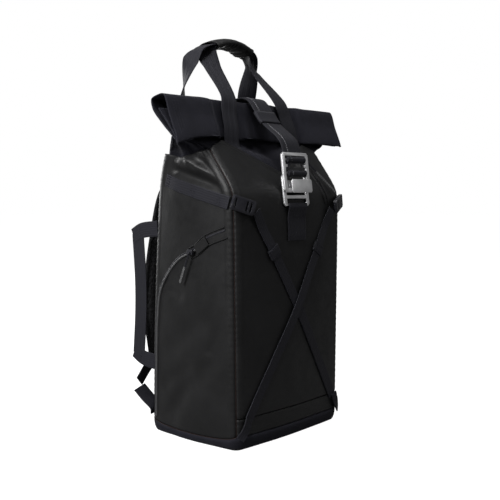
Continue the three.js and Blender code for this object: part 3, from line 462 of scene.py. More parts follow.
def strap_section(width, thickness, ridges=0, ridge_height=0.0):
    """Points round a flat strap, with rounded edges and raised lengthwise ridges."""
    round_ = thickness / 2
    flat = width / 2 - round_
    face = []
    for i in range(STRAP_FACETS + 1):
        share = i / STRAP_FACETS
        ridge = ridge_height * (0.5 - 0.5 * math.cos(2 * math.pi * ridges * share)) if ridges else 0
        face.append((lerp(-flat, flat, share), round_ + ridge))
    edge = []
    for i in range(1, EDGE_FACETS + 1):
        angle = math.pi * (0.5 - i / (EDGE_FACETS + 1))
        edge.append((flat + round_ * math.cos(angle), round_ * math.sin(angle)))
    return face + edge + [(x, -y) for x, y in reversed(face)] + [(-x, -y) for x, y in edge]


def oval_section(width, thickness, sides=28):
    turns = [2 * math.pi * i / sides for i in range(sides)]
    return [(width / 2 * math.cos(turn), thickness / 2 * math.sin(turn)) for turn in turns]


def sleeve(frames, section, shape=None):
    """A closed form that carries a section along frames; shape(v, x, y) may change each point of the section."""
    count, steps = len(section), len(frames) - 1
    length = sum((frames[i + 1][0] - frames[i][0]).length for i in range(steps))

    def place(u, v):
        at, _, across, lift = frames[round(v * steps)]
        x, y = section[round(u * count) % count]
        if shape:
            x, y = shape(v, x, y)
        return at + across * x + lift * y

    def chart(u, v):
        x, y = section[round(u * count) % count]
        return (x + (0.1 if y < 0 else 0), v * length)

    mesh = laid_grid(count, steps, place, chart)
    close_up(mesh)
    return mesh


def strap(name, rows, width, thickness, steps, *nodes, ridges=3, ridge_height=0.0004, shape=None):
    frames = travel(rows, steps)
    section = strap_section(width, thickness, ridges, ridge_height)
    new_piece(name, sleeve(frames, section, shape), WEBBING, *nodes)
    return frames


# %% [markdown]
# Stitches are tiny spindles of thread set end to end. They are joined into one piece per colour, so a few hundred
# of them cost little.

# %% Stitch helpers
STITCH = 0.0030
STITCH_GAP = 0.0012
THREAD_HALF = 0.0003
sewing = {DARK_THREAD: bmesh.new(), PALE_THREAD: bmesh.new()}


def sew(places, colour=None, half=THREAD_HALF):
    """Stitches along a line of (place, lift) pairs."""
    mesh = sewing[colour or DARK_THREAD]
    carried = 0.0
    for (a, up), (b, _) in zip(places, places[1:]):
        length = (b - a).length
        if length < 1e-6:
            continue
        along = (b - a) / length
        side = up.cross(along).normalized()
        turn = Matrix((along, side, along.cross(side))).transposed().to_4x4()
        while carried < length:
            spot = Matrix.Translation(a + along * carried)
            size = Matrix.Diagonal((STITCH / 2, half, half, 1))
            bmesh.ops.create_icosphere(mesh, subdivisions=1, radius=1.0, matrix=spot @ turn @ size)
            carried += STITCH + STITCH_GAP
        carried -= length


def sew_strap(frames, start, end, offset, lift, colour=None):
    """A row of stitches along a strap, between two shares of its length and at an offset from its middle."""
    first, last = round(start * (len(frames) - 1)), round(end * (len(frames) - 1))
    sew([(at + across * offset + up * lift, up) for at, _, across, up in frames[first:last + 1]], colour)


def bar_tack(frames, share, width, lift, colour=None):
    """A row of stitches across a strap."""
    at, along, across, up = frames[round(share * (len(frames) - 1))]
    for shift in (-0.0012, 0.0012):
        ends = [at + across * side * width / 2 + up * lift + along * shift for side in (-1, 1)]
        sew([(end, up) for end in ends], colour)


# %% [markdown]
# ## The body's form
# Seen from above, the bag is a rectangle with rounded corners. Its front leans back above a knee, so the outline
# is worked out afresh at every height. The same function places the panels and everything that lies on them.

# %% Body sizes
FOOT_WIDTH = 0.292
BAG_WIDTH = 0.300
RIM_WIDTH = 0.306
FRONT_DEPTH = 0.104
BACK_DEPTH_FOOT = 0.115
BACK_DEPTH_RIM = 0.082
BACK_TUCK = 0.010
KNEE_HEIGHT = 0.440
RIM_HEIGHT = 0.507
FRONT_SLOPE = 0.79
KNEE_ROUND = 0.014
CORNER_RADIUS = 0.022
CROWNS = {"left": 0.009, "right": 0.009, "front": 0.010, "back": 0.003}
STRAIGHT = 0.8
CLOTH_WALL = 0.0016
FACING = {"left": Vector((-1, 0, 0)), "right": Vector((1, 0, 0)), "front": Vector((0, -1, 0)), "back": Vector((0, 1, 0))}

# %% [markdown]
# Creases on the side panels run from one place to another, in shares of the front's depth and the rim's height.
# A negative depth is a ridge. They all fan out from the knee, where the roll's strap pulls the cloth.

# %% Creases
SIDE_CREASES = (
    # from y, from z, to y, to z, depth, spread
    (-0.84, 0.872, 0.30, 0.932, 0.0085, 0.010),
    (-0.84, 0.888, -0.05, 0.962, -0.0050, 0.009),
    (-0.80, 0.890, -0.30, 0.925, 0.0022, 0.006),
    (-0.62, 0.925, -0.10, 0.985, 0.0044, 0.008),
    (0.50, 0.915, 0.30, 0.985, 0.0050, 0.014),
    (0.30, 0.965, -0.20, 0.975, -0.0030, 0.009),
    (0.50, 0.080, 0.14, 0.190, 0.0056, 0.018),
    (-0.30, 0.420, 0.40, 0.340, 0.0040, 0.022),
    (-0.70, 0.330, -0.10, 0.210, 0.0036, 0.018),
    (-0.78, 0.450, -0.45, 0.330, 0.0026, 0.010),
    (0.20, 0.510, 0.72, 0.560, 0.0026, 0.012),
    (0.05, 0.260, 0.60, 0.190, 0.0030, 0.014),
)


def side_crease(y, z):
    depth = 0.0
    for from_y, from_z, to_y, to_z, deep, spread in SIDE_CREASES:
        start = (from_y * FRONT_DEPTH, from_z * RIM_HEIGHT)
        end = (to_y * FRONT_DEPTH, to_z * RIM_HEIGHT)
        depth += deep * bell(line_distance((y, z), start, end), spread)
    return depth


# %% Body outline


def front_y(z):
    above = z - KNEE_HEIGHT
    return -FRONT_DEPTH + FRONT_SLOPE * (above + math.hypot(above, KNEE_ROUND)) / 2


def back_y(z):
    drawn_in = BACK_TUCK * clamp((z / RIM_HEIGHT - 0.86) / 0.14, 0, 1) ** 2
    return lerp(BACK_DEPTH_FOOT, BACK_DEPTH_RIM, (clamp(z, 0, RIM_HEIGHT * 1.1) / RIM_HEIGHT) ** 1.6) - drawn_in


def half_width(z):
    share = clamp(z / RIM_HEIGHT, 0, 1)
    low = lerp(FOOT_WIDTH, BAG_WIDTH, share * 2)
    return (low if share < 0.5 else lerp(BAG_WIDTH, RIM_WIDTH, share * 2 - 1)) / 2


def fullness(z):
    return math.sqrt(math.sin(math.pi * clamp((z + 0.08 * RIM_HEIGHT) / (1.16 * RIM_HEIGHT), 0.02, 0.98)))


def slack(side, along, z):
    """Soft, shallow waves of loose cloth."""
    broad = noise.noise(Vector((along * 9, z * 7, 3.0 * len(side))))
    fine = noise.noise(Vector((along * 26, z * 17, 9.0 + len(side))))
    return 0.0022 * broad + 0.0006 * fine


def bag_point(side, share, z, lift=0.0):
    """A place on a side of the bag: share runs from -1 to 1 between the seams at its two corners."""
    front, back = front_y(z) - lift, back_y(z) + lift
    radius = CORNER_RADIUS + lift
    middle, half_deep, half_wide = (front + back) / 2, (back - front) / 2, half_width(z) + lift
    flank = side in ("left", "right")
    half, reach = (half_deep, half_wide) if flank else (half_wide, half_deep)
    bend = max(0.0, abs(share) - STRAIGHT) / (1 - STRAIGHT) * math.pi / 4
    straight = min(abs(share), STRAIGHT) / STRAIGHT
    along = math.copysign(straight * (half - radius) + radius * math.sin(bend), share)
    out = reach - radius + radius * math.cos(bend) + CROWNS[side] * fullness(z) * (1 - straight**2)
    if flank:
        out -= side_crease(middle - along, z) * (1 - straight**6)
    out += slack(side, along, z) * (1 - straight**4)
    if side == "left":
        return Vector((-out, middle - along, z))
    if side == "right":
        return Vector((out, middle - along, z))
    return Vector((along, middle - out if side == "front" else middle + out, z))


def bag_facing(side, share):
    bend = max(0.0, abs(share) - STRAIGHT) / (1 - STRAIGHT) * math.pi / 4
    turn = math.copysign(math.sin(bend), share)
    flank = side in ("left", "right")
    return FACING[side] * math.cos(bend) + (Vector((0, -turn, 0)) if flank else Vector((turn, 0, 0)))


def on_bag(side, share, z, lift):
    return bag_point(side, share, z, lift), bag_facing(side, share)


def face_share(x, z):
    return clamp(x / (half_width(z) - CORNER_RADIUS), -1, 1) * STRAIGHT


def on_front(x, z, lift):
    return bag_point("front", face_share(x, z), z, lift)


# %% Rim and boot lines
FRONT_PEAK = 0.019
FRONT_VALLEY = 0.039
SIDE_DIP = 0.011
FRONT_RIM = ((0, -FRONT_VALLEY), (STRAIGHT * 5 / 6, FRONT_PEAK), (1, 0.002))
FLANK_RIM = ((-1, -0.27 * SIDE_DIP), (-0.1, -SIDE_DIP), (1, 0.002))
BOOT_SIDE = 0.015
BOOT_CORNER = 0.024
HEM_HEIGHT = 0.054


def read_line(rows, share):
    for (a, low), (b, high) in zip(rows, rows[1:]):
        if share <= b:
            return lerp(low, high, (share - a) / (b - a))
    return rows[-1][1]


def rim_z(side, share):
    if side == "front":
        return RIM_HEIGHT + read_line(FRONT_RIM, abs(share))
    if side == "back":
        return RIM_HEIGHT - 0.27 * SIDE_DIP
    return RIM_HEIGHT + read_line(FLANK_RIM, share)


def boot_z(side, share):
    return BOOT_CORNER if side == "front" else lerp(BOOT_SIDE, BOOT_CORNER, abs(share) ** 3)


# %% [markdown]
# ## Panels
# Four panels of coated cloth meet at the corners. Each edge is turned in where it is sewn, so a seam shows as a
# narrow groove with a slight pucker on both sides.

# %% Panels
SEAM_TURN = 0.0018
SEAM_WIDTH = 0.0022
PUCKER = 0.00022
PUCKER_PITCH = 0.011
PANEL_REACH = 0.9985
SEAM_SPAN = CORNER_RADIUS * math.pi / 4 / (1 - STRAIGHT)


def seam_sink(distance, run):
    pucker = PUCKER * math.sin(2 * math.pi * run / PUCKER_PITCH) * bell(distance, 0.010)
    return SEAM_TURN * bell(distance, SEAM_WIDTH) + pucker


def panel(name, side, columns, rows, foot, top):
    def place(u, v):
        share = lerp(-PANEL_REACH, PANEL_REACH, u)
        low, high = foot(side, share), top(side, share)
        z = lerp(low, high, v)
        edge = (1 - abs(share)) * SEAM_SPAN
        sink = seam_sink(edge, z) + SEAM_TURN * 0.7 * bell(z - low, SEAM_WIDTH)
        return bag_point(side, share, z, -sink)

    half = half_width(0) if side in ("front", "back") else FRONT_DEPTH
    mesh = laid_grid(columns, rows, place, lambda u, v: ((u - 0.5) * 2 * half, v * RIM_HEIGHT))
    face_away(mesh, Vector((0, 0, RIM_HEIGHT / 2)))
    new_piece(name, mesh, COATED, name, wall=CLOTH_WALL)


PANEL_GAP = 0.0003


def above_boot(side, share):
    return boot_z(side, share) + PANEL_GAP


panel("side_panel_left", "left", 150, 190, above_boot, rim_z)
panel("side_panel_right", "right", 150, 190, above_boot, rim_z)
panel("front_panel", "front", 180, 180, lambda side, share: HEM_HEIGHT + PANEL_GAP, rim_z)
panel("front_hem", "front", 120, 14, above_boot, lambda side, share: HEM_HEIGHT)
panel("back_panel", "back", 90, 90, above_boot, rim_z)

# %% [markdown]
# ## Boot
# The base is a shallow canvas tray with a rounded lower edge. It is one grid wrapped round the bag and closed
# underneath.

# %% Boot
BOOT_ROUND = 0.009
BOOT_LINE = ((1.0, 0.0), (0.62, 0.07), (0.36, 0.22), (0.14, 0.45), (0.03, 0.72), (0.0, 1.0))


def around(corner_steps, flank_steps, face_steps):
    """All the way round the bag, as pairs of a side and a share along it."""
    ring = []
    for side, steps, sign in (("left", flank_steps, 1), ("front", face_steps, 1),
                              ("right", flank_steps, -1), ("back", face_steps, -1)):
        shares = [lerp(-1, -STRAIGHT, i / corner_steps) for i in range(corner_steps)]
        shares += [lerp(-STRAIGHT, STRAIGHT, i / steps) for i in range(steps + 1)]
        shares += [lerp(STRAIGHT, 1, i / corner_steps) for i in range(1, corner_steps)]
        ring += [(side, sign * share) for share in shares]
    return ring


def boot():
    ring = around(8, 30, 40)
    count, rows = len(ring), len(BOOT_LINE) - 1

    def place(u, v):
        side, share = ring[round(u * count) % count]
        inset, height = BOOT_LINE[round(v * rows)]
        top = boot_z(side, share)
        flat = bag_point(side, share, 0.02, -inset * BOOT_ROUND)
        return Vector((flat.x, flat.y, height * top))

    mesh = laid_grid(count, rows, place, lambda u, v: (u * 1.0, v * 0.03))
    bmesh.ops.remove_doubles(mesh, verts=mesh.verts, dist=1e-6)
    bottom = [edge for edge in mesh.edges if edge.is_boundary and edge.verts[0].co.z < 1e-5 and edge.verts[1].co.z < 1e-5]
    bmesh.ops.holes_fill(mesh, edges=bottom, sides=0)
    face_away(mesh, Vector((0, 0, 0.02)))
    new_piece("base_boot", mesh, CANVAS, "base_boot", wall=0.0025)


boot()

# %% [markdown]
# ## Roll
# The collar's top is rolled one and a third turns. Seen from its end it is a flat spiral with clear corners, so
# one line of cloth is laid out first and then carried along the roll. The straps press it back in three places
# and the cloth bulges between them.

# %% Roll
ROLL_LENGTH = 0.452
ROLL_DEPTH = 0.068
ROLL_HEIGHT = 0.078
ROLL_Y = -0.016
ROLL_Z = 0.562
ROLL_WALL = 0.005
ROLL_BACK = ROLL_Y + ROLL_DEPTH / 2
ROLL_TOP = ROLL_Z + ROLL_HEIGHT / 2
ROLL_LINE = (
    (-0.58, -0.82), (-0.24, -0.62), (0.12, -0.40), (0.86, 0.24), (0.93, 0.74), (0.40, 0.93), (-0.12, 0.91), (-0.50, 0.10),
    (-0.92, -0.84), (-0.78, -0.90), (-0.44, -0.58), (0.02, -0.13), (0.45, 0.26),
)
END_DROOP = (0.017, 0.007)
RIGHT_DROOP = 0.3
ROLL_CREASES = (
    # from x, from z, to x, to z, depth, spread
    (-0.92, 0.80, -0.74, -0.30, 0.0016, 0.0045),
    (-0.74, 0.90, -0.46, 0.05, 0.0020, 0.0050),
    (-0.58, 0.90, -0.44, 0.35, 0.0018, 0.0040),
    (-0.86, -0.60, -0.50, -0.30, -0.0014, 0.0060),
    (0.90, 0.75, 0.60, -0.10, 0.0018, 0.0050),
    (0.20, 0.85, 0.28, -0.40, 0.0020, 0.0050),
    (-0.20, 0.85, -0.28, -0.40, 0.0020, 0.0050),
)
ROLL_DENTS = ((-0.35, 0.020, 0.038), (0.0, 0.016, 0.040), (0.35, 0.020, 0.038))


def roll_dent(x, y):
    near = clamp((ROLL_BACK - y) / ROLL_DEPTH, 0, 1)
    depth = sum(deep * math.exp(-(((x - at * ROLL_LENGTH / 2) / spread) ** 6)) for at, deep, spread in ROLL_DENTS)
    return depth * near**1.3


def roll_crease(x, z):
    half, tall = ROLL_LENGTH / 2, ROLL_HEIGHT / 2
    depth = 0.0
    for from_x, from_z, to_x, to_z, deep, spread in ROLL_CREASES:
        away = line_distance((x, z - ROLL_Z), (from_x * half, from_z * tall), (to_x * half, to_z * tall))
        depth += deep * bell(away, spread)
    return depth


def end_droop(x, y, z):
    """The open ends hang a little lower and further forward than the strapped middle."""
    near_end = clamp((abs(x) - 0.55 * ROLL_LENGTH / 2) / (0.45 * ROLL_LENGTH / 2), 0, 1) ** 2
    near_end *= 1 if x < 0 else RIGHT_DROOP
    low = clamp((ROLL_TOP - z) / ROLL_HEIGHT, 0, 1) ** 1.5
    ahead = clamp((ROLL_BACK - y) / ROLL_DEPTH, 0, 1)
    return Vector((0, -END_DROOP[1] * near_end * low, -END_DROOP[0] * near_end * low * ahead))


def roll_wrinkle(x, run):
    """Slanting creases that run out from each dent, strongest close to it."""
    rise = 0.0
    for at, _, spread in ROLL_DENTS:
        away = x - at * ROLL_LENGTH / 2
        side = abs(away) - spread
        near = bell(side - 0.010, 0.018)
        rise += 0.0009 * near * math.sin(60 * (run + 1.1 * side) + 40 * at)
    return rise + 0.0011 * noise.noise(Vector((x * 11, run * 24, 2.0)))


def roll_face(x, z):
    y = ROLL_Y + ROLL_DEPTH / 2 * lerp(-0.92, -0.12, (z - ROLL_Z + 0.84 * ROLL_HEIGHT / 2) / (1.75 * ROLL_HEIGHT / 2))
    return y - ROLL_WALL / 2 + roll_dent(x, y)


def roll():
    line = [Vector((0, ROLL_Y + y * ROLL_DEPTH / 2, ROLL_Z + z * ROLL_HEIGHT / 2)) for y, z in ROLL_LINE]
    turns, lengthwise = 130, 220
    places = [spline(line, i / turns) for i in range(turns + 1)]

    def place(u, v):
        index = round(u * turns)
        x = (v - 0.5) * ROLL_LENGTH
        run = (places[min(index + 1, turns)] - places[max(index - 1, 0)]).normalized()
        out = Vector((0, -run.z, run.y))
        ahead = clamp(-out.y * 1.5, 0, 1)
        lift = ROLL_WALL / 2 + roll_wrinkle(x, u * 0.35) - ahead * roll_crease(x, places[index].z)
        at = places[index] + out * lift
        return Vector((x, at.y + roll_dent(x, at.y), at.z)) + end_droop(x, at.y, at.z)

    mesh = laid_grid(turns, lengthwise, place, lambda u, v: (v * ROLL_LENGTH, u * 0.35))
    mesh.normal_update()
    top = max(mesh.faces, key=lambda face: face.calc_center_median().z)
    if top.normal.z < 0:
        bmesh.ops.reverse_faces(mesh, faces=mesh.faces)
    new_piece("roll", mesh, CANVAS, "roll", wall=0.0020)
    for inwards in (0.013, 0.019, 0.025):
        for side in (-1, 1):
            rows = [places[i] + Vector((side * (ROLL_LENGTH / 2 - inwards), 0, 0)) for i in range(26, 112, 2)]
            stitched = []
            for i, at in enumerate(rows):
                run = (rows[min(i + 1, len(rows) - 1)] - rows[max(i - 1, 0)]).normalized()
                out = Vector((0, -run.z, run.y))
                lifted = at + out * (ROLL_WALL / 2 + 0.0004)
                lifted += end_droop(lifted.x, lifted.y, lifted.z)
                stitched.append((Vector((lifted.x, lifted.y + roll_dent(lifted.x, lifted.y), lifted.z)), out))
            sew(stitched)


roll()

# %% [markdown]
# ## Collar
# Between the body's rim and the roll the canvas is gathered from the bag's outline to a flat slot. The rings are
# blended smoothly, with pleats where the cloth has to lose its fullness.

# %% Collar
COLLAR_INSET = 0.0075
COLLAR_TUCK = 0.045
COLLAR_ROWS = ((-1, 0), (-0.3, 0), (0, 0.04), (0.3, 0.3), (0.56, 0.78), (1, 1))
SLOT_HALF = 0.9 * ROLL_LENGTH / 2
SLOT_DEPTH = 0.006
SLOT_Y = ROLL_Y - 0.004


def underside_z(y):
    slope = lerp(-0.58, -0.13, (y - ROLL_Y + 0.44 * ROLL_DEPTH / 2) / (0.46 * ROLL_DEPTH / 2))
    hidden = ROLL_Z - 0.4 * ROLL_HEIGHT / 2 - ROLL_WALL * 0.95
    return min(ROLL_Z + ROLL_HEIGHT / 2 * slope - ROLL_WALL * 0.9, hidden)


def collar_point(side, share, rise, gather, turn):
    low = min(rim_z(side, share), RIM_HEIGHT) + min(rise, 0) * COLLAR_TUCK
    body = bag_point(side, share, low, -COLLAR_INSET)
    slot_x = clamp(body.x / (half_width(RIM_HEIGHT) - COLLAR_INSET), -1, 1) * SLOT_HALF
    flat = clamp((body.y - SLOT_Y) / BACK_DEPTH_RIM, -1, 1)
    slot_y = SLOT_Y + math.copysign(abs(flat) ** 0.5 * SLOT_DEPTH, flat)
    slot_z = underside_z(slot_y) - PANEL_GAP - 0.0002
    x = lerp(body.x, slot_x, gather)
    pressed = roll_dent(x, slot_y) * gather
    pleat = 0.0022 * gather * (1 - gather) * 4 * math.sin(turn * 2 * math.pi * 23 + 3 * math.sin(turn * 40))
    y = lerp(body.y, slot_y, gather) + pressed
    return Vector((x, y + pleat, lerp(low, slot_z, max(0, rise)) + pleat * 0.5))


def collar():
    ring = around(8, 26, 60)
    count, steps = len(ring), 46
    rows = [spline([Vector((rise, gather, 0)) for rise, gather in COLLAR_ROWS], i / steps) for i in range(steps + 1)]

    def place(u, v):
        side, share = ring[round(u * count) % count]
        row = rows[round(v * steps)]
        return collar_point(side, share, row.x, clamp(row.y, 0, 1), u % 1)

    mesh = laid_grid(count, steps, place, lambda u, v: (u * 0.78, v * 0.12))
    bmesh.ops.remove_doubles(mesh, verts=mesh.verts, dist=1e-6)
    face_away(mesh, Vector((0, 0, RIM_HEIGHT)))
    new_piece("collar", mesh, CANVAS, "collar", wall=CLOTH_WALL)


collar()

# %% [markdown]
# ## Handles
# Two webbing handles start inside the front and behind the back, turn a quarter on the way up and meet in one
# wrapped grip.

# %% Handles
WEB = 0.0022
HANDLE_WIDTH = 0.036
HANDLE_FOOT_X = 0.084
GRIP_HALF = 0.052
GRIP_Z = 0.698
GRIP_Y = 0.055
GRIP_RISE = 0.013
HANDLE_LAYER = WEB + 0.0011
SEWN_LENGTH = 0.030


def way(x, y, z):
    return Vector((x, y, z)).normalized()


def grip_at(share, lift):
    return Vector((share * GRIP_HALF, GRIP_Y, GRIP_Z + GRIP_RISE * (1 - share**2) + lift))


def grip_rows(lift):
    return [(grip_at(share, lift), way(share * 0.4, 0, 1)) for share in (-0.84, -0.42, 0, 0.42, 0.84)]


def front_leg(side):
    def on_roll(inwards, z, lift):
        x = side * (HANDLE_FOOT_X - inwards)
        return Vector((x, roll_face(x, z) - lift, z))

    def foot(z):
        return on_front(side * HANDLE_FOOT_X, z, -(0.002 + 0.0015 + WEB))

    leaning = way(0, -1, 0.35)
    return [
        (foot(RIM_HEIGHT), leaning),
        (foot(RIM_HEIGHT + FRONT_PEAK * 0.6), leaning),
        (on_roll(0.001, ROLL_Z - 0.028, 0.005), leaning),
        (on_roll(0.003, ROLL_Z - 0.014, 0.006), leaning),
        (on_roll(0.007, ROLL_Z + 0.014, 0.0042), leaning),
        (on_roll(0.013, ROLL_TOP, 0.004), way(0, -1, 0.6)),
        (Vector((side * (GRIP_HALF + 0.007), GRIP_Y - 0.020, GRIP_Z - 0.036)), way(side * 0.3, -1, 0.35)),
        (Vector((side * (GRIP_HALF + 0.005), GRIP_Y - 0.005, GRIP_Z - 0.012)), way(side * 0.9, -0.7, 0.4)),
        (Vector((side * GRIP_HALF, GRIP_Y, GRIP_Z - 0.0006 - HANDLE_LAYER / 2)), way(side * 0.6, 0, 1)),
    ]


def behind_back(x, z, thickness):
    return bag_point("back", face_share(x, z), z, PANEL_GAP + thickness / 2 + 0.0002)


def rear_leg(side):
    low = RIM_HEIGHT - SEWN_LENGTH
    foot_x = side * HANDLE_FOOT_X
    return [
        (behind_back(foot_x, low, WEB), way(0, 1, 0)),
        (behind_back(foot_x, RIM_HEIGHT - 0.006, WEB), way(0, 1, 0)),
        (Vector((foot_x + side * 0.002, BACK_DEPTH_RIM + 0.004, ROLL_Z)), way(0, 1, 0.1)),
        (Vector((foot_x + side * 0.002, BACK_DEPTH_RIM, ROLL_TOP + 0.020)), way(side * 0.67, 0.74, 0.1)),
        (Vector((side * (GRIP_HALF + 0.030), GRIP_Y + 0.012, GRIP_Z - 0.024)), way(side, -0.25, 0.3)),
        (Vector((side * (GRIP_HALF + 0.017), GRIP_Y + 0.005, GRIP_Z - 0.004)), way(side * 0.8, 0.1, 1)),
        (Vector((side * (GRIP_HALF + 0.002), GRIP_Y, GRIP_Z + HANDLE_LAYER + 0.001)), way(side * 0.4, 0, 1)),
    ]


front_route = front_leg(-1) + grip_rows(-HANDLE_LAYER / 2) + front_leg(1)[::-1]
rear_route = rear_leg(-1) + grip_rows(HANDLE_LAYER / 2) + rear_leg(1)[::-1]
front_frames = strap("front_handle", front_route, HANDLE_WIDTH, WEB, 190, "front_handle")
rear_frames = strap("rear_handle", rear_route, HANDLE_WIDTH, WEB, 180, "rear_handle")
for frames in (front_frames, rear_frames):
    for share in (0.035, 0.965):
        bar_tack(frames, share, HANDLE_WIDTH * 0.8, WEB / 2 + 0.0006)

# %% [markdown]
# The grip is a sleeve of coated cloth sewn round both handles. Its upper side is taut and its underside is
# crumpled by the hand, so the wrinkles are strongest below.

# %% Grip wrap
WRAP_WIDTH = HANDLE_WIDTH + 0.014
WRAP_HEIGHT = 0.018
WRAP_REACH = 0.90


def grip_wrap():
    steps = 90
    rows = []
    for i in range(9):
        share = lerp(-WRAP_REACH, WRAP_REACH, i / 8)
        rows.append((grip_at(share, 0), way(share * 0.4, 0, 1)))
    frames = travel(rows, steps)

    def crumple(v, x, y):
        below = clamp(0.5 - y / WRAP_HEIGHT * 1.6, 0, 1)
        wave = math.sin(v * 46 + 2.4 * math.sin(v * 13) + x * 60) * math.sin(math.pi * clamp(v, 0.02, 0.98)) ** 0.4
        flare = 1 + 0.05 * bell(v, 0.03) + 0.05 * bell(1 - v, 0.03)
        return x * flare * (1 + 0.015 * wave), y * flare * (1 + (0.16 * below + 0.02) * wave)

    mesh = sleeve(frames, oval_section(WRAP_WIDTH, WRAP_HEIGHT, 44), crumple)
    ends = [face for face in mesh.faces if len(face.verts) > 8]
    bmesh.ops.delete(mesh, geom=ends, context="FACES_ONLY")
    new_piece("handle_wrap", mesh, COATED, "handle_wrap", wall=0.0018)


grip_wrap()

# %% [markdown]
# ## Centre strap
# A wide webbing strap comes over the roll from behind, passes a keeper and ends in the buckle. A pale tracer
# thread runs along it.

# %% Centre strap
CENTRE_WIDTH = 0.050
CENTRE_THICK = 0.0032
BUCKLE_TOP_Z = 0.505
BUCKLE_TOP_Y = -0.104
BUCKLE_LEAN = 0.13
BARS = {"upper": 0.0125, "lower": 0.036}
BAR_HEIGHT = 0.0036
TURN_REACH = 0.0064
BUCKLE_THICK = 0.0045
BEHIND_FRAME = -PANEL_GAP - CENTRE_THICK / 2


def strap_hang(drop, out):
    return Vector((0, BUCKLE_TOP_Y - BUCKLE_LEAN * drop - out, BUCKLE_TOP_Z - drop))


def centre_strap():
    ridge = roll_face(0, ROLL_TOP) + 0.005
    rows = [
        (behind_back(0, RIM_HEIGHT - SEWN_LENGTH, CENTRE_THICK), way(0, 1, 0)),
        (behind_back(0, RIM_HEIGHT - 0.002, CENTRE_THICK), way(0, 1, 0)),
        (Vector((0, BACK_DEPTH_RIM - 0.004, RIM_HEIGHT + 0.016)), way(0, 1, 0.4)),
        (Vector((0, ROLL_BACK + 0.024, ROLL_Z)), way(0, 1, 0.6)),
        (Vector((0, ROLL_BACK - 0.004, ROLL_TOP + 0.001)), way(0, 0.5, 1)),
        (Vector((0, (ROLL_BACK + ridge) / 2, ROLL_TOP + 0.004)), way(0, 0, 1)),
        (Vector((0, ridge - 0.008, ROLL_TOP + 0.0014)), way(0, -0.6, 1)),
        (Vector((0, lerp(ridge, BUCKLE_TOP_Y, 0.45), lerp(ROLL_TOP, BUCKLE_TOP_Z, 0.42))), way(0, -1, 0.8)),
        (strap_hang(-0.022, BEHIND_FRAME - 0.006), way(0, -1, 0.5)),
        (strap_hang(-0.004, BEHIND_FRAME - 0.0005), way(0, -1, 0.2)),
        (strap_hang(BARS["upper"] - TURN_REACH, BEHIND_FRAME), way(0, -1, BUCKLE_LEAN)),
    ]
    frames = strap("centre_strap", rows, CENTRE_WIDTH, CENTRE_THICK, 150, "centre_strap", ridges=5)
    for offset in (-0.0135, -0.0125):
        sew_strap(frames, 0.25, 0.98, offset, CENTRE_THICK / 2 + 0.0003, PALE_THREAD)
    return frames


def keeper(frames):
    first, last = round(0.66 * 150), round(0.715 * 150)
    section = strap_section(CENTRE_WIDTH + 0.005, CENTRE_THICK + 0.0045)
    mesh = sleeve(frames[first:last], section)
    ends = [face for face in mesh.faces if len(face.verts) > 8]
    bmesh.ops.delete(mesh, geom=ends, context="FACES_ONLY")
    new_piece("strap_keeper", mesh, WEBBING, "strap_keeper", wall=0.0019)
    sew_strap(frames, 0.665, 0.71, CENTRE_WIDTH / 2 - 0.004, CENTRE_THICK / 2 + 0.0026)


centre_frames = centre_strap()
keeper(centre_frames)

# %% [markdown]
# The strap turns round both bars of the buckle. Each turn is a sleeve with the same ribs as the strap.

# %% Turns round the bars


def bar_wraps():
    for name, drop in BARS.items():
        half = CENTRE_WIDTH / 2 - 0.0005
        middle = strap_hang(drop, BUCKLE_THICK / 2)
        rows = [(middle + Vector((x, 0, 0)), way(0, -1, BUCKLE_LEAN)) for x in (-half, half)]
        frames = travel(rows, 60)

        def ribbed(v, x, y):
            swell = 1 + 0.035 * math.cos(v * 2 * math.pi * 9)
            return x * swell, y * swell

        mesh = sleeve(frames, oval_section(0.0114, 0.0125, 30), ribbed)
        new_piece(f"bar_wrap_{name}", mesh, WEBBING, f"bar_wrap_{name}")
        ring = []
        for i in range(25):
            turn = 2 * math.pi * i / 24
            at, _, across, up = frames[12]
            out = across * math.cos(turn) + up * math.sin(turn)
            ring.append((at + across * math.cos(turn) * 0.0062 + up * math.sin(turn) * 0.0067, out))
        sew(ring, PALE_THREAD)


bar_wraps()

# %% [markdown]
# ## Hard fittings
# The buckle, clips and sliders keep the frame's shapes. A copy of each is merged into whole faces and its edges
# are bevelled, since the highlight along a rounded edge is what makes cast metal and mouldings look real.

# %% Hard fittings
FLAT_WITHIN = math.radians(2)
SHARP_OVER = math.radians(25)


def soften(node, material, radius):
    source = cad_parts[node]
    mesh = bmesh.new()
    mesh.from_mesh(source.data)
    bmesh.ops.remove_doubles(mesh, verts=mesh.verts, dist=2e-5)
    bmesh.ops.dissolve_limit(mesh, angle_limit=FLAT_WITHIN, verts=mesh.verts, edges=mesh.edges)
    sharp = [edge for edge in mesh.edges if len(edge.link_faces) == 2 and edge.calc_face_angle(0) > SHARP_OVER]
    bmesh.ops.bevel(mesh, geom=sharp, offset=radius, offset_type="OFFSET", affect="EDGES", segments=3,
                    profile=0.5, clamp_overlap=True, material=-1)
    new_piece(f"{node}_softened", mesh, material, node)


for node in ("buckle_frame", "buckle_lower_frame", "buckle_hook_plate"):
    soften(node, METAL, 0.0009)
soften("front_zip_slider", METAL, 0.0011)
soften("side_zip_slider", MOULDED, 0.0010)
for side in ("left", "right"):
    soften(f"strap_clip_{side}", MOULDED, 0.0010)

# %% [markdown]
# ## Lower strap, side strips and anchors
# Flat webbing sewn to the body follows the body's own surface, so it is laid out with the same shares.

# %% Lower strap
LOWER_FRAME_START = 0.038
LOWER_FRAME_HEIGHT = 0.056


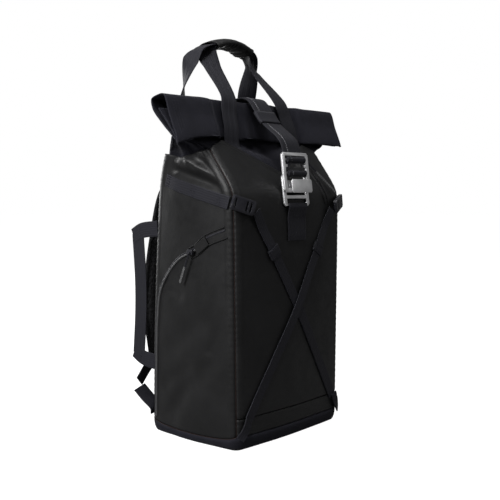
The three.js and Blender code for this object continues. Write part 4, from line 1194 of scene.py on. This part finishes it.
def lower_strap():
    bar = LOWER_FRAME_START + LOWER_FRAME_HEIGHT - 0.002

    def flat(z):
        return on_front(0, z, PANEL_GAP + WEB / 2 + 0.0006)

    under = flat(BUCKLE_TOP_Z - bar - 0.008)
    rows = [
        (strap_hang(bar - 0.0045, WEB / 2), way(0, -1, BUCKLE_LEAN)),
        (strap_hang(bar + 0.003, WEB / 2), way(0, -1, BUCKLE_LEAN)),
        (strap_hang(bar + 0.012, 0).lerp(under, 0.5), way(0, -1, 0.1)),
        (flat(KNEE_HEIGHT - 0.048), way(0, -1, 0)),
        (flat(KNEE_HEIGHT - 0.088), way(0, -1, 0)),
    ]
    frames = strap("lower_strap", rows, CENTRE_WIDTH, WEB, 60, "lower_strap", ridges=5)
    for share in (0.72, 0.97):
        bar_tack(frames, share, CENTRE_WIDTH * 0.86, WEB / 2 + 0.0006)
    for side in (-1, 1):
        sew_strap(frames, 0.72, 0.97, side * CENTRE_WIDTH * 0.43, WEB / 2 + 0.0006)


lower_strap()

# %% Side strips
STRIP_WIDTH = 0.022
STRIP_ROWS = ((-0.7, 0.903), (-0.35, 0.887), (0.05, 0.869), (0.5, 0.847), (0.8, 0.832), (0.92, 0.826))
STRIP_TACKS = (0.03, 0.08, 0.42, 0.46, 0.72, 0.75)


def side_strip(side):
    lift = PANEL_GAP + WEB / 2 + 0.0009
    rows = [on_bag(side, share, z * RIM_HEIGHT, lift) for share, z in STRIP_ROWS]
    frames = strap(f"side_strip_{side}", rows, STRIP_WIDTH, WEB, 90, f"side_strip_{side}", ridges=0)
    for share in STRIP_TACKS:
        bar_tack(frames, share, STRIP_WIDTH * 0.8, WEB / 2 + 0.0002)
    for edge in (-1, 1):
        sew_strap(frames, 0.02, 0.75, edge * STRIP_WIDTH * 0.42, WEB / 2 + 0.0002)


for side in ("left", "right"):
    side_strip(side)

# %% [markdown]
# ## Crossed straps
# Two narrow straps run from the clips over the front to the opposite lower corners. One passes over the other
# where they cross, and each has a slider near its top.

# %% Crossed straps
CROSS_WIDTH = 0.020
ANCHOR_TOP = (-0.118, 0.052)
STRAP_TOP = (-0.106, 0.4044)
SLIDER_SHARE = 0.2
CROSSING = 0.034


def cross_lift(x, share, over):
    at_clip = bell(share, 0.05) * 0.005
    at_slider = bell(share - SLIDER_SHARE, 0.07) * 0.0013
    passing = over * bell(x, CROSSING) * (WEB + 0.0008)
    return PANEL_GAP + WEB / 2 + 0.0006 + passing + at_clip + at_slider


def cross_rows(sign, over):
    rows = []
    for i in range(29):
        share = i / 28
        x = sign * lerp(STRAP_TOP[0], -ANCHOR_TOP[0], share)
        z = lerp(STRAP_TOP[1], ANCHOR_TOP[1], share)
        rows.append((on_front(x, z, cross_lift(x, share, over)), FACING["front"]))
    return rows


def crossed_strap(name, sign, over):
    rows = cross_rows(sign, over)
    frames = strap(f"cross_strap_{name}", rows, CROSS_WIDTH, WEB, 140, f"cross_strap_{name}", ridges=0)
    middle = round(SLIDER_SHARE * 140)
    section = strap_section(CROSS_WIDTH + 0.007, WEB + 0.003)
    mesh = sleeve(frames[middle - 3:middle + 4], section)
    new_piece(f"cross_slider_{name}", mesh, WEBBING, f"cross_slider_{name}")
    for share in (SLIDER_SHARE - 0.015, SLIDER_SHARE + 0.015):
        bar_tack(frames, share, CROSS_WIDTH, WEB / 2 + 0.0017)


crossed_strap("a", 1, 0)
crossed_strap("b", -1, 1)

# %% Anchors


def anchor(side, sign):
    lift = PANEL_GAP + WEB / 2 + WEB + 0.0014
    top = on_front(sign * -(ANCHOR_TOP[0] - 0.002), ANCHOR_TOP[1] + 0.004, lift)
    rows = [on_bag("front", sign * 0.94, BOOT_CORNER - 0.002, lift), on_bag("front", sign * 0.84, 0.036, lift),
            (top, FACING["front"])]
    frames = strap(f"strap_anchor_{side}", rows, CROSS_WIDTH - 0.004, WEB, 40, f"strap_anchor_{side}", ridges=0)
    bar_tack(frames, 0.7, CROSS_WIDTH * 0.7, WEB / 2 + 0.0002)
    bar_tack(frames, 0.9, CROSS_WIDTH * 0.7, WEB / 2 + 0.0002)


anchor("left", -1)
anchor("right", 1)

# %% [markdown]
# ## Zips
# The side zip curves from the front seam to the back edge between two welts, a broad pale lip and a narrow dark
# slit. The lip's paleness is partly a painted highlight. At its front end a small garage covers the slider.

# %% Side zip
SIDE_ZIP = ((0.84, 0.73), (0.44, 0.701), (0.2, 0.667), (-0.2, 0.632), (-0.5, 0.578), (-0.72, 0.51),
            (-0.79, 0.412), (-0.80, 0.24), (-0.80, 0.06))
LIP = 0.0042


def half_round(width, height):
    """A welt's section: flat below and round above."""
    sides = 10
    arc = [(width / 2 * math.cos(math.pi * i / sides), height * math.sin(math.pi * i / sides)) for i in range(sides + 1)]
    return arc


def zip_frames(rows, side, steps):
    return travel([on_bag(side, share, z * RIM_HEIGHT, PANEL_GAP) for share, z in rows], steps)


def shifted(frames, offset, lift):
    return [(at + across * offset + up * lift, along, across, up) for at, along, across, up in frames]


def side_zip():
    frames = zip_frames(SIDE_ZIP, "left", 200)
    # The lip's pale colour is partly a painted highlight along its rounded top.
    lips = sleeve(shifted(frames[40:], -0.0006, 0), half_round(LIP, 0.0028))
    new_piece("side_zip_lip", lips, PALE_PIPING_AND_PAINTED_HIGHLIGHT, "side_zip")
    slit = sleeve(shifted(frames, -0.0042, -0.0002), half_round(0.0034, 0.0008))
    new_piece("side_zip_slit", slit, MOULDED)
    for offset, end in ((-0.0092, 60), (0.0092, 60)):
        welt = sleeve(shifted(frames[:end], offset, -0.0004), half_round(0.0030, 0.0020))
        new_piece(f"side_zip_welt_{'low' if offset < 0 else 'high'}", welt, COATED)
    cover = travel([on_bag("left", share + 0.02, z * RIM_HEIGHT, 0.0028) for share, z in SIDE_ZIP[1:3]], 30)
    mesh = sleeve(cover, strap_section(0.017, 0.0016))
    new_piece("side_zip_garage", mesh, COATED, "side_zip_garage")


side_zip()

# %% [markdown]
# Each zip pull is a doubled cord that ends in a ribbed, moulded tip.

# %% Zip pulls
PULL_WIDTH = 0.0050


def zip_pull(name, top, bottom, facing, split=0.45):
    joint = top.lerp(bottom, split)
    cords = bmesh.new()
    bmesh.ops.create_uvsphere(cords, u_segments=12, v_segments=8, radius=0.0028, matrix=Matrix.Translation(top))
    new_piece(f"{name}_knot", cords, WEBBING, name)
    for side in (-1, 1):
        across = facing.cross(bottom - top).normalized() * 0.0011 * side
        rows = [(top + across, facing), (joint + across, facing)]
        new_piece(f"{name}_cord_{'left' if side < 0 else 'right'}", sleeve(travel(rows, 12), oval_section(0.0019, 0.0019, 10)), WEBBING)

    def ribbed(v, x, y):
        swell = 1 + 0.10 * math.cos(v * 2 * math.pi * 12)
        return x * swell, y * swell

    tip = sleeve(travel([(joint, facing), (bottom, facing)], 96), strap_section(PULL_WIDTH, 0.0028), ribbed)
    new_piece(f"{name}_tip", tip, PALE_PIPING_AND_PAINTED_HIGHLIGHT)


low_box, high_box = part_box("side_zip_pull")
pull_x = (low_box.x + high_box.x) / 2
zip_pull("side_zip_pull", Vector((pull_x, low_box.y + 0.001, high_box.z)), Vector((pull_x, high_box.y - 0.002, low_box.z)),
         FACING["left"])

# %% Front zip
FRONT_ZIP = ((0.5, 0.975), (0.57, 0.91), (0.62, 0.85), (0.65, 0.82))


def front_zip():
    leaning = way(0, -1, 0.5)
    rows = [(on_front(x * BAG_WIDTH / 2, z * RIM_HEIGHT, PANEL_GAP), leaning) for x, z in FRONT_ZIP]
    frames = travel(rows, 60)
    for offset, name in ((-0.0040, "inner"), (0.0040, "outer")):
        lip = sleeve(shifted(frames, offset, 0), half_round(0.0052, 0.0030))
        new_piece(f"front_zip_lip_{name}", lip, COATED)
    slit = sleeve(shifted(frames, 0, 0.0001), half_round(0.0034, 0.0009))
    new_piece("front_zip_slit", slit, MOULDED, "front_zip")


front_zip()
low_box, high_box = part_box("front_zip_pull")
zip_pull("front_zip_pull", Vector((low_box.x + 0.002, high_box.y - 0.004, high_box.z - 0.002)),
         Vector((high_box.x - 0.002, low_box.y + 0.004, low_box.z + 0.003)), way(0, -1, 0.5), 0.3)

# %% [markdown]
# ## Side handle
# A flat webbing handle stands out behind the left back edge. Its corners are folded to a mitre, so it is made of
# three strips whose ends overlap at the folds.

# %% Side handle


def side_handle():
    low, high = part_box("side_handle")
    x = (low.x + high.x) / 2
    wide = 0.031
    out = high.y - wide / 2
    seat = low.y
    top, bottom = 0.358, 0.140
    bow = 0.008
    left = Vector((-1, 0, 0))
    upright = [(Vector((x, out - 0.002, top + 0.002)), left), (Vector((x, out - bow, (top + bottom) / 2 + 0.03)), left),
               (Vector((x, out - bow, (top + bottom) / 2 - 0.03)), left), (Vector((x, out - 0.002, bottom - 0.002)), left)]
    strap("side_handle", upright, wide, WEB, 90, "side_handle", ridges=0)
    for name, z, rise in (("top", top, 0.013), ("bottom", bottom, -0.013)):
        rows = [(Vector((x - 0.0004, out + wide * 0.30, z - rise * 0.2)), left), (Vector((x - 0.0004, out - wide * 0.4, z + rise * 0.6)), left),
                (Vector((x, seat, z + rise)), left)]
        frames = strap(f"side_handle_{name}", rows, wide * 0.92, WEB, 40, ridges=0)
        bar_tack(frames, 0.42, wide * 0.8, WEB / 2 + 0.0002)


side_handle()

# %% [markdown]
# ## Back
# The back panel and the shoulder straps are padded with foam under spacer mesh. Each is a closed, crowned form,
# thickest along its middle and drawn in at its bound edges.

# %% Back pad
PAD_WIDTH = 0.236
PAD_FOOT = 0.060
PAD_TOP = 0.450
PAD_THICK = 0.016


def back_pad():
    def place(u, v):
        x = (u - 0.5) * PAD_WIDTH
        z = lerp(PAD_FOOT, PAD_TOP, v)
        edge = (1 - abs(2 * u - 1) ** 9) * (1 - abs(2 * v - 1) ** 11)
        channel = 1 - 0.45 * bell(x, 0.016)
        for height in (0.33, 0.66):
            channel *= 1 - 0.35 * bell((v - height) * (PAD_TOP - PAD_FOOT), 0.006)
        thick = PAD_THICK * max(edge, 0) ** 0.5 * channel
        return bag_point("back", face_share(x, z), z, PANEL_GAP + 0.0004 + thick)

    mesh = laid_grid(110, 160, place, lambda u, v: (u * PAD_WIDTH, v * (PAD_TOP - PAD_FOOT)))
    face_away(mesh, Vector((0, 0, 0.25)))
    boundary = [edge for edge in mesh.edges if edge.is_boundary]
    bmesh.ops.holes_fill(mesh, edges=boundary, sides=0)
    bmesh.ops.recalc_face_normals(mesh, faces=mesh.faces)
    pad = new_piece("back_pad", mesh, SPACER, "back_pad")


back_pad()

# %% Shoulder straps
SHOULDER_WIDTH = 0.066
SHOULDER_THICK = 0.014
SHOULDER_LINE = ((0.42, 0.0087, 0.9), (0.44, 0.042, 0.87), (0.47, 0.062, 0.68), (0.55, 0.060, 0.45), (0.66, 0.036, 0.26))
HARNESS_WIDTH = 0.025


def shoulder(side, sign):
    facing = way(0, 1, 0.15)
    rows = []
    for x, out, z in SHOULDER_LINE:
        rows.append((Vector((sign * x * BAG_WIDTH / 2, back_y(z * RIM_HEIGHT) + out, z * RIM_HEIGHT)), facing))
    frames = travel(rows, 84)

    def cushioned(v, x, y):
        taper = 1 if v < 0.8 else lerp(1, 0.6, (v - 0.8) / 0.2)
        edge = 1 - 0.45 * bell(abs(x) - SHOULDER_WIDTH * 0.36, 0.004)
        return x * taper, y * taper * edge

    mesh = sleeve(frames, oval_section(SHOULDER_WIDTH, SHOULDER_THICK, 48), cushioned)
    piece = new_piece(f"shoulder_strap_{side}", mesh, SPACER, f"shoulder_strap_{side}")
    return frames


def harness(side, sign, frames):
    foot, along = frames[-1][0], frames[-1][1]
    wing = Vector((sign * 0.94 * BAG_WIDTH / 2, back_y(0.08) + 0.034, 0.08))
    gap = Vector((0, 0, 0.0065))
    web = [(foot + along * 0.002, way(0, 1, 0)), (foot.lerp(wing, 0.5) + Vector((0, 0.002, 0)), way(0, 1, 0.3)),
           (wing + gap * 0.6, way(0, 1, 0.3))]
    strap(f"shoulder_web_{side}", web, HARNESS_WIDTH, WEB, 50, f"shoulder_web_{side}", ridges=0)
    root = on_bag("back", sign * 0.84, 0.030, PANEL_GAP + WEB / 2 + 0.0002)
    second = on_bag("back", sign * 0.85, 0.040, PANEL_GAP + WEB / 2 + 0.0012)
    tab = [root, second, (root[0].lerp(wing, 0.55), way(0, 1, -0.5)), (wing - gap, way(0, 1, -0.6))]
    tab_frames = strap(f"strap_wing_{side}", tab, HARNESS_WIDTH + 0.006, WEB, 50, f"strap_wing_{side}", ridges=0)
    bar_tack(tab_frames, 0.12, HARNESS_WIDTH, WEB / 2 + 0.0002)


for side, sign in (("left", -1), ("right", 1)):
    harness(side, sign, shoulder(side, sign))

# %% [markdown]
# ## Seam lines and stitching
# A thin brown edge shows along the front seams and above the boot, where the coated cloth was cut. The stitches
# gathered so far become one piece for each colour of thread.

# %% Seam lines


def seam_line(name, places, radius=0.0005):
    rows = [(at, way(0, 0, 1) if abs(out.z) < 0.5 else out) for at, out in places]
    frames = [(at, None, None, None) for at, _ in rows]
    for i in range(len(rows)):
        along = (rows[min(i + 1, len(rows) - 1)][0] - rows[max(i - 1, 0)][0]).normalized()
        across = places[i][1].cross(along).normalized()
        frames[i] = (rows[i][0], along, across, along.cross(across).normalized())
    new_piece(name, sleeve(frames, oval_section(radius * 2, radius * 2, 8)), BROWN_THREAD)


def seam_lines():
    for side, sign in (("left", -1), ("right", 1)):
        places = []
        for i in range(121):
            z = lerp(BOOT_CORNER + 0.001, RIM_HEIGHT, i / 120)
            places.append((bag_point("front", sign, z, -0.0013), bag_facing("front", sign)))
        seam_line(f"front_seam_{side}", places)
        boot_line = []
        for i in range(121):
            share = lerp(-0.99, 0.99, i / 120)
            boot_line.append((bag_point(side, share, boot_z(side, share) + 0.0004, -0.0004), bag_facing(side, share)))
        seam_line(f"boot_seam_{side}", boot_line)
    for side in ("left", "right"):
        for inwards in (0.006,):
            rows = []
            for i in range(140):
                share = lerp(-0.97, 0.97, i / 139)
                rows.append((bag_point(side, share, rim_z(side, share) - inwards, 0.0002), bag_facing(side, share)))
            sew(rows)
    rows = []
    for i in range(160):
        share = lerp(-0.97, 0.97, i / 159)
        rows.append((bag_point("front", share, rim_z("front", share) - 0.007, 0.0003), way(0, -1, 0.5)))
    sew(rows)


seam_lines()
for colour, mesh in sewing.items():
    new_piece(f"stitches_{colour.name}", mesh, colour)
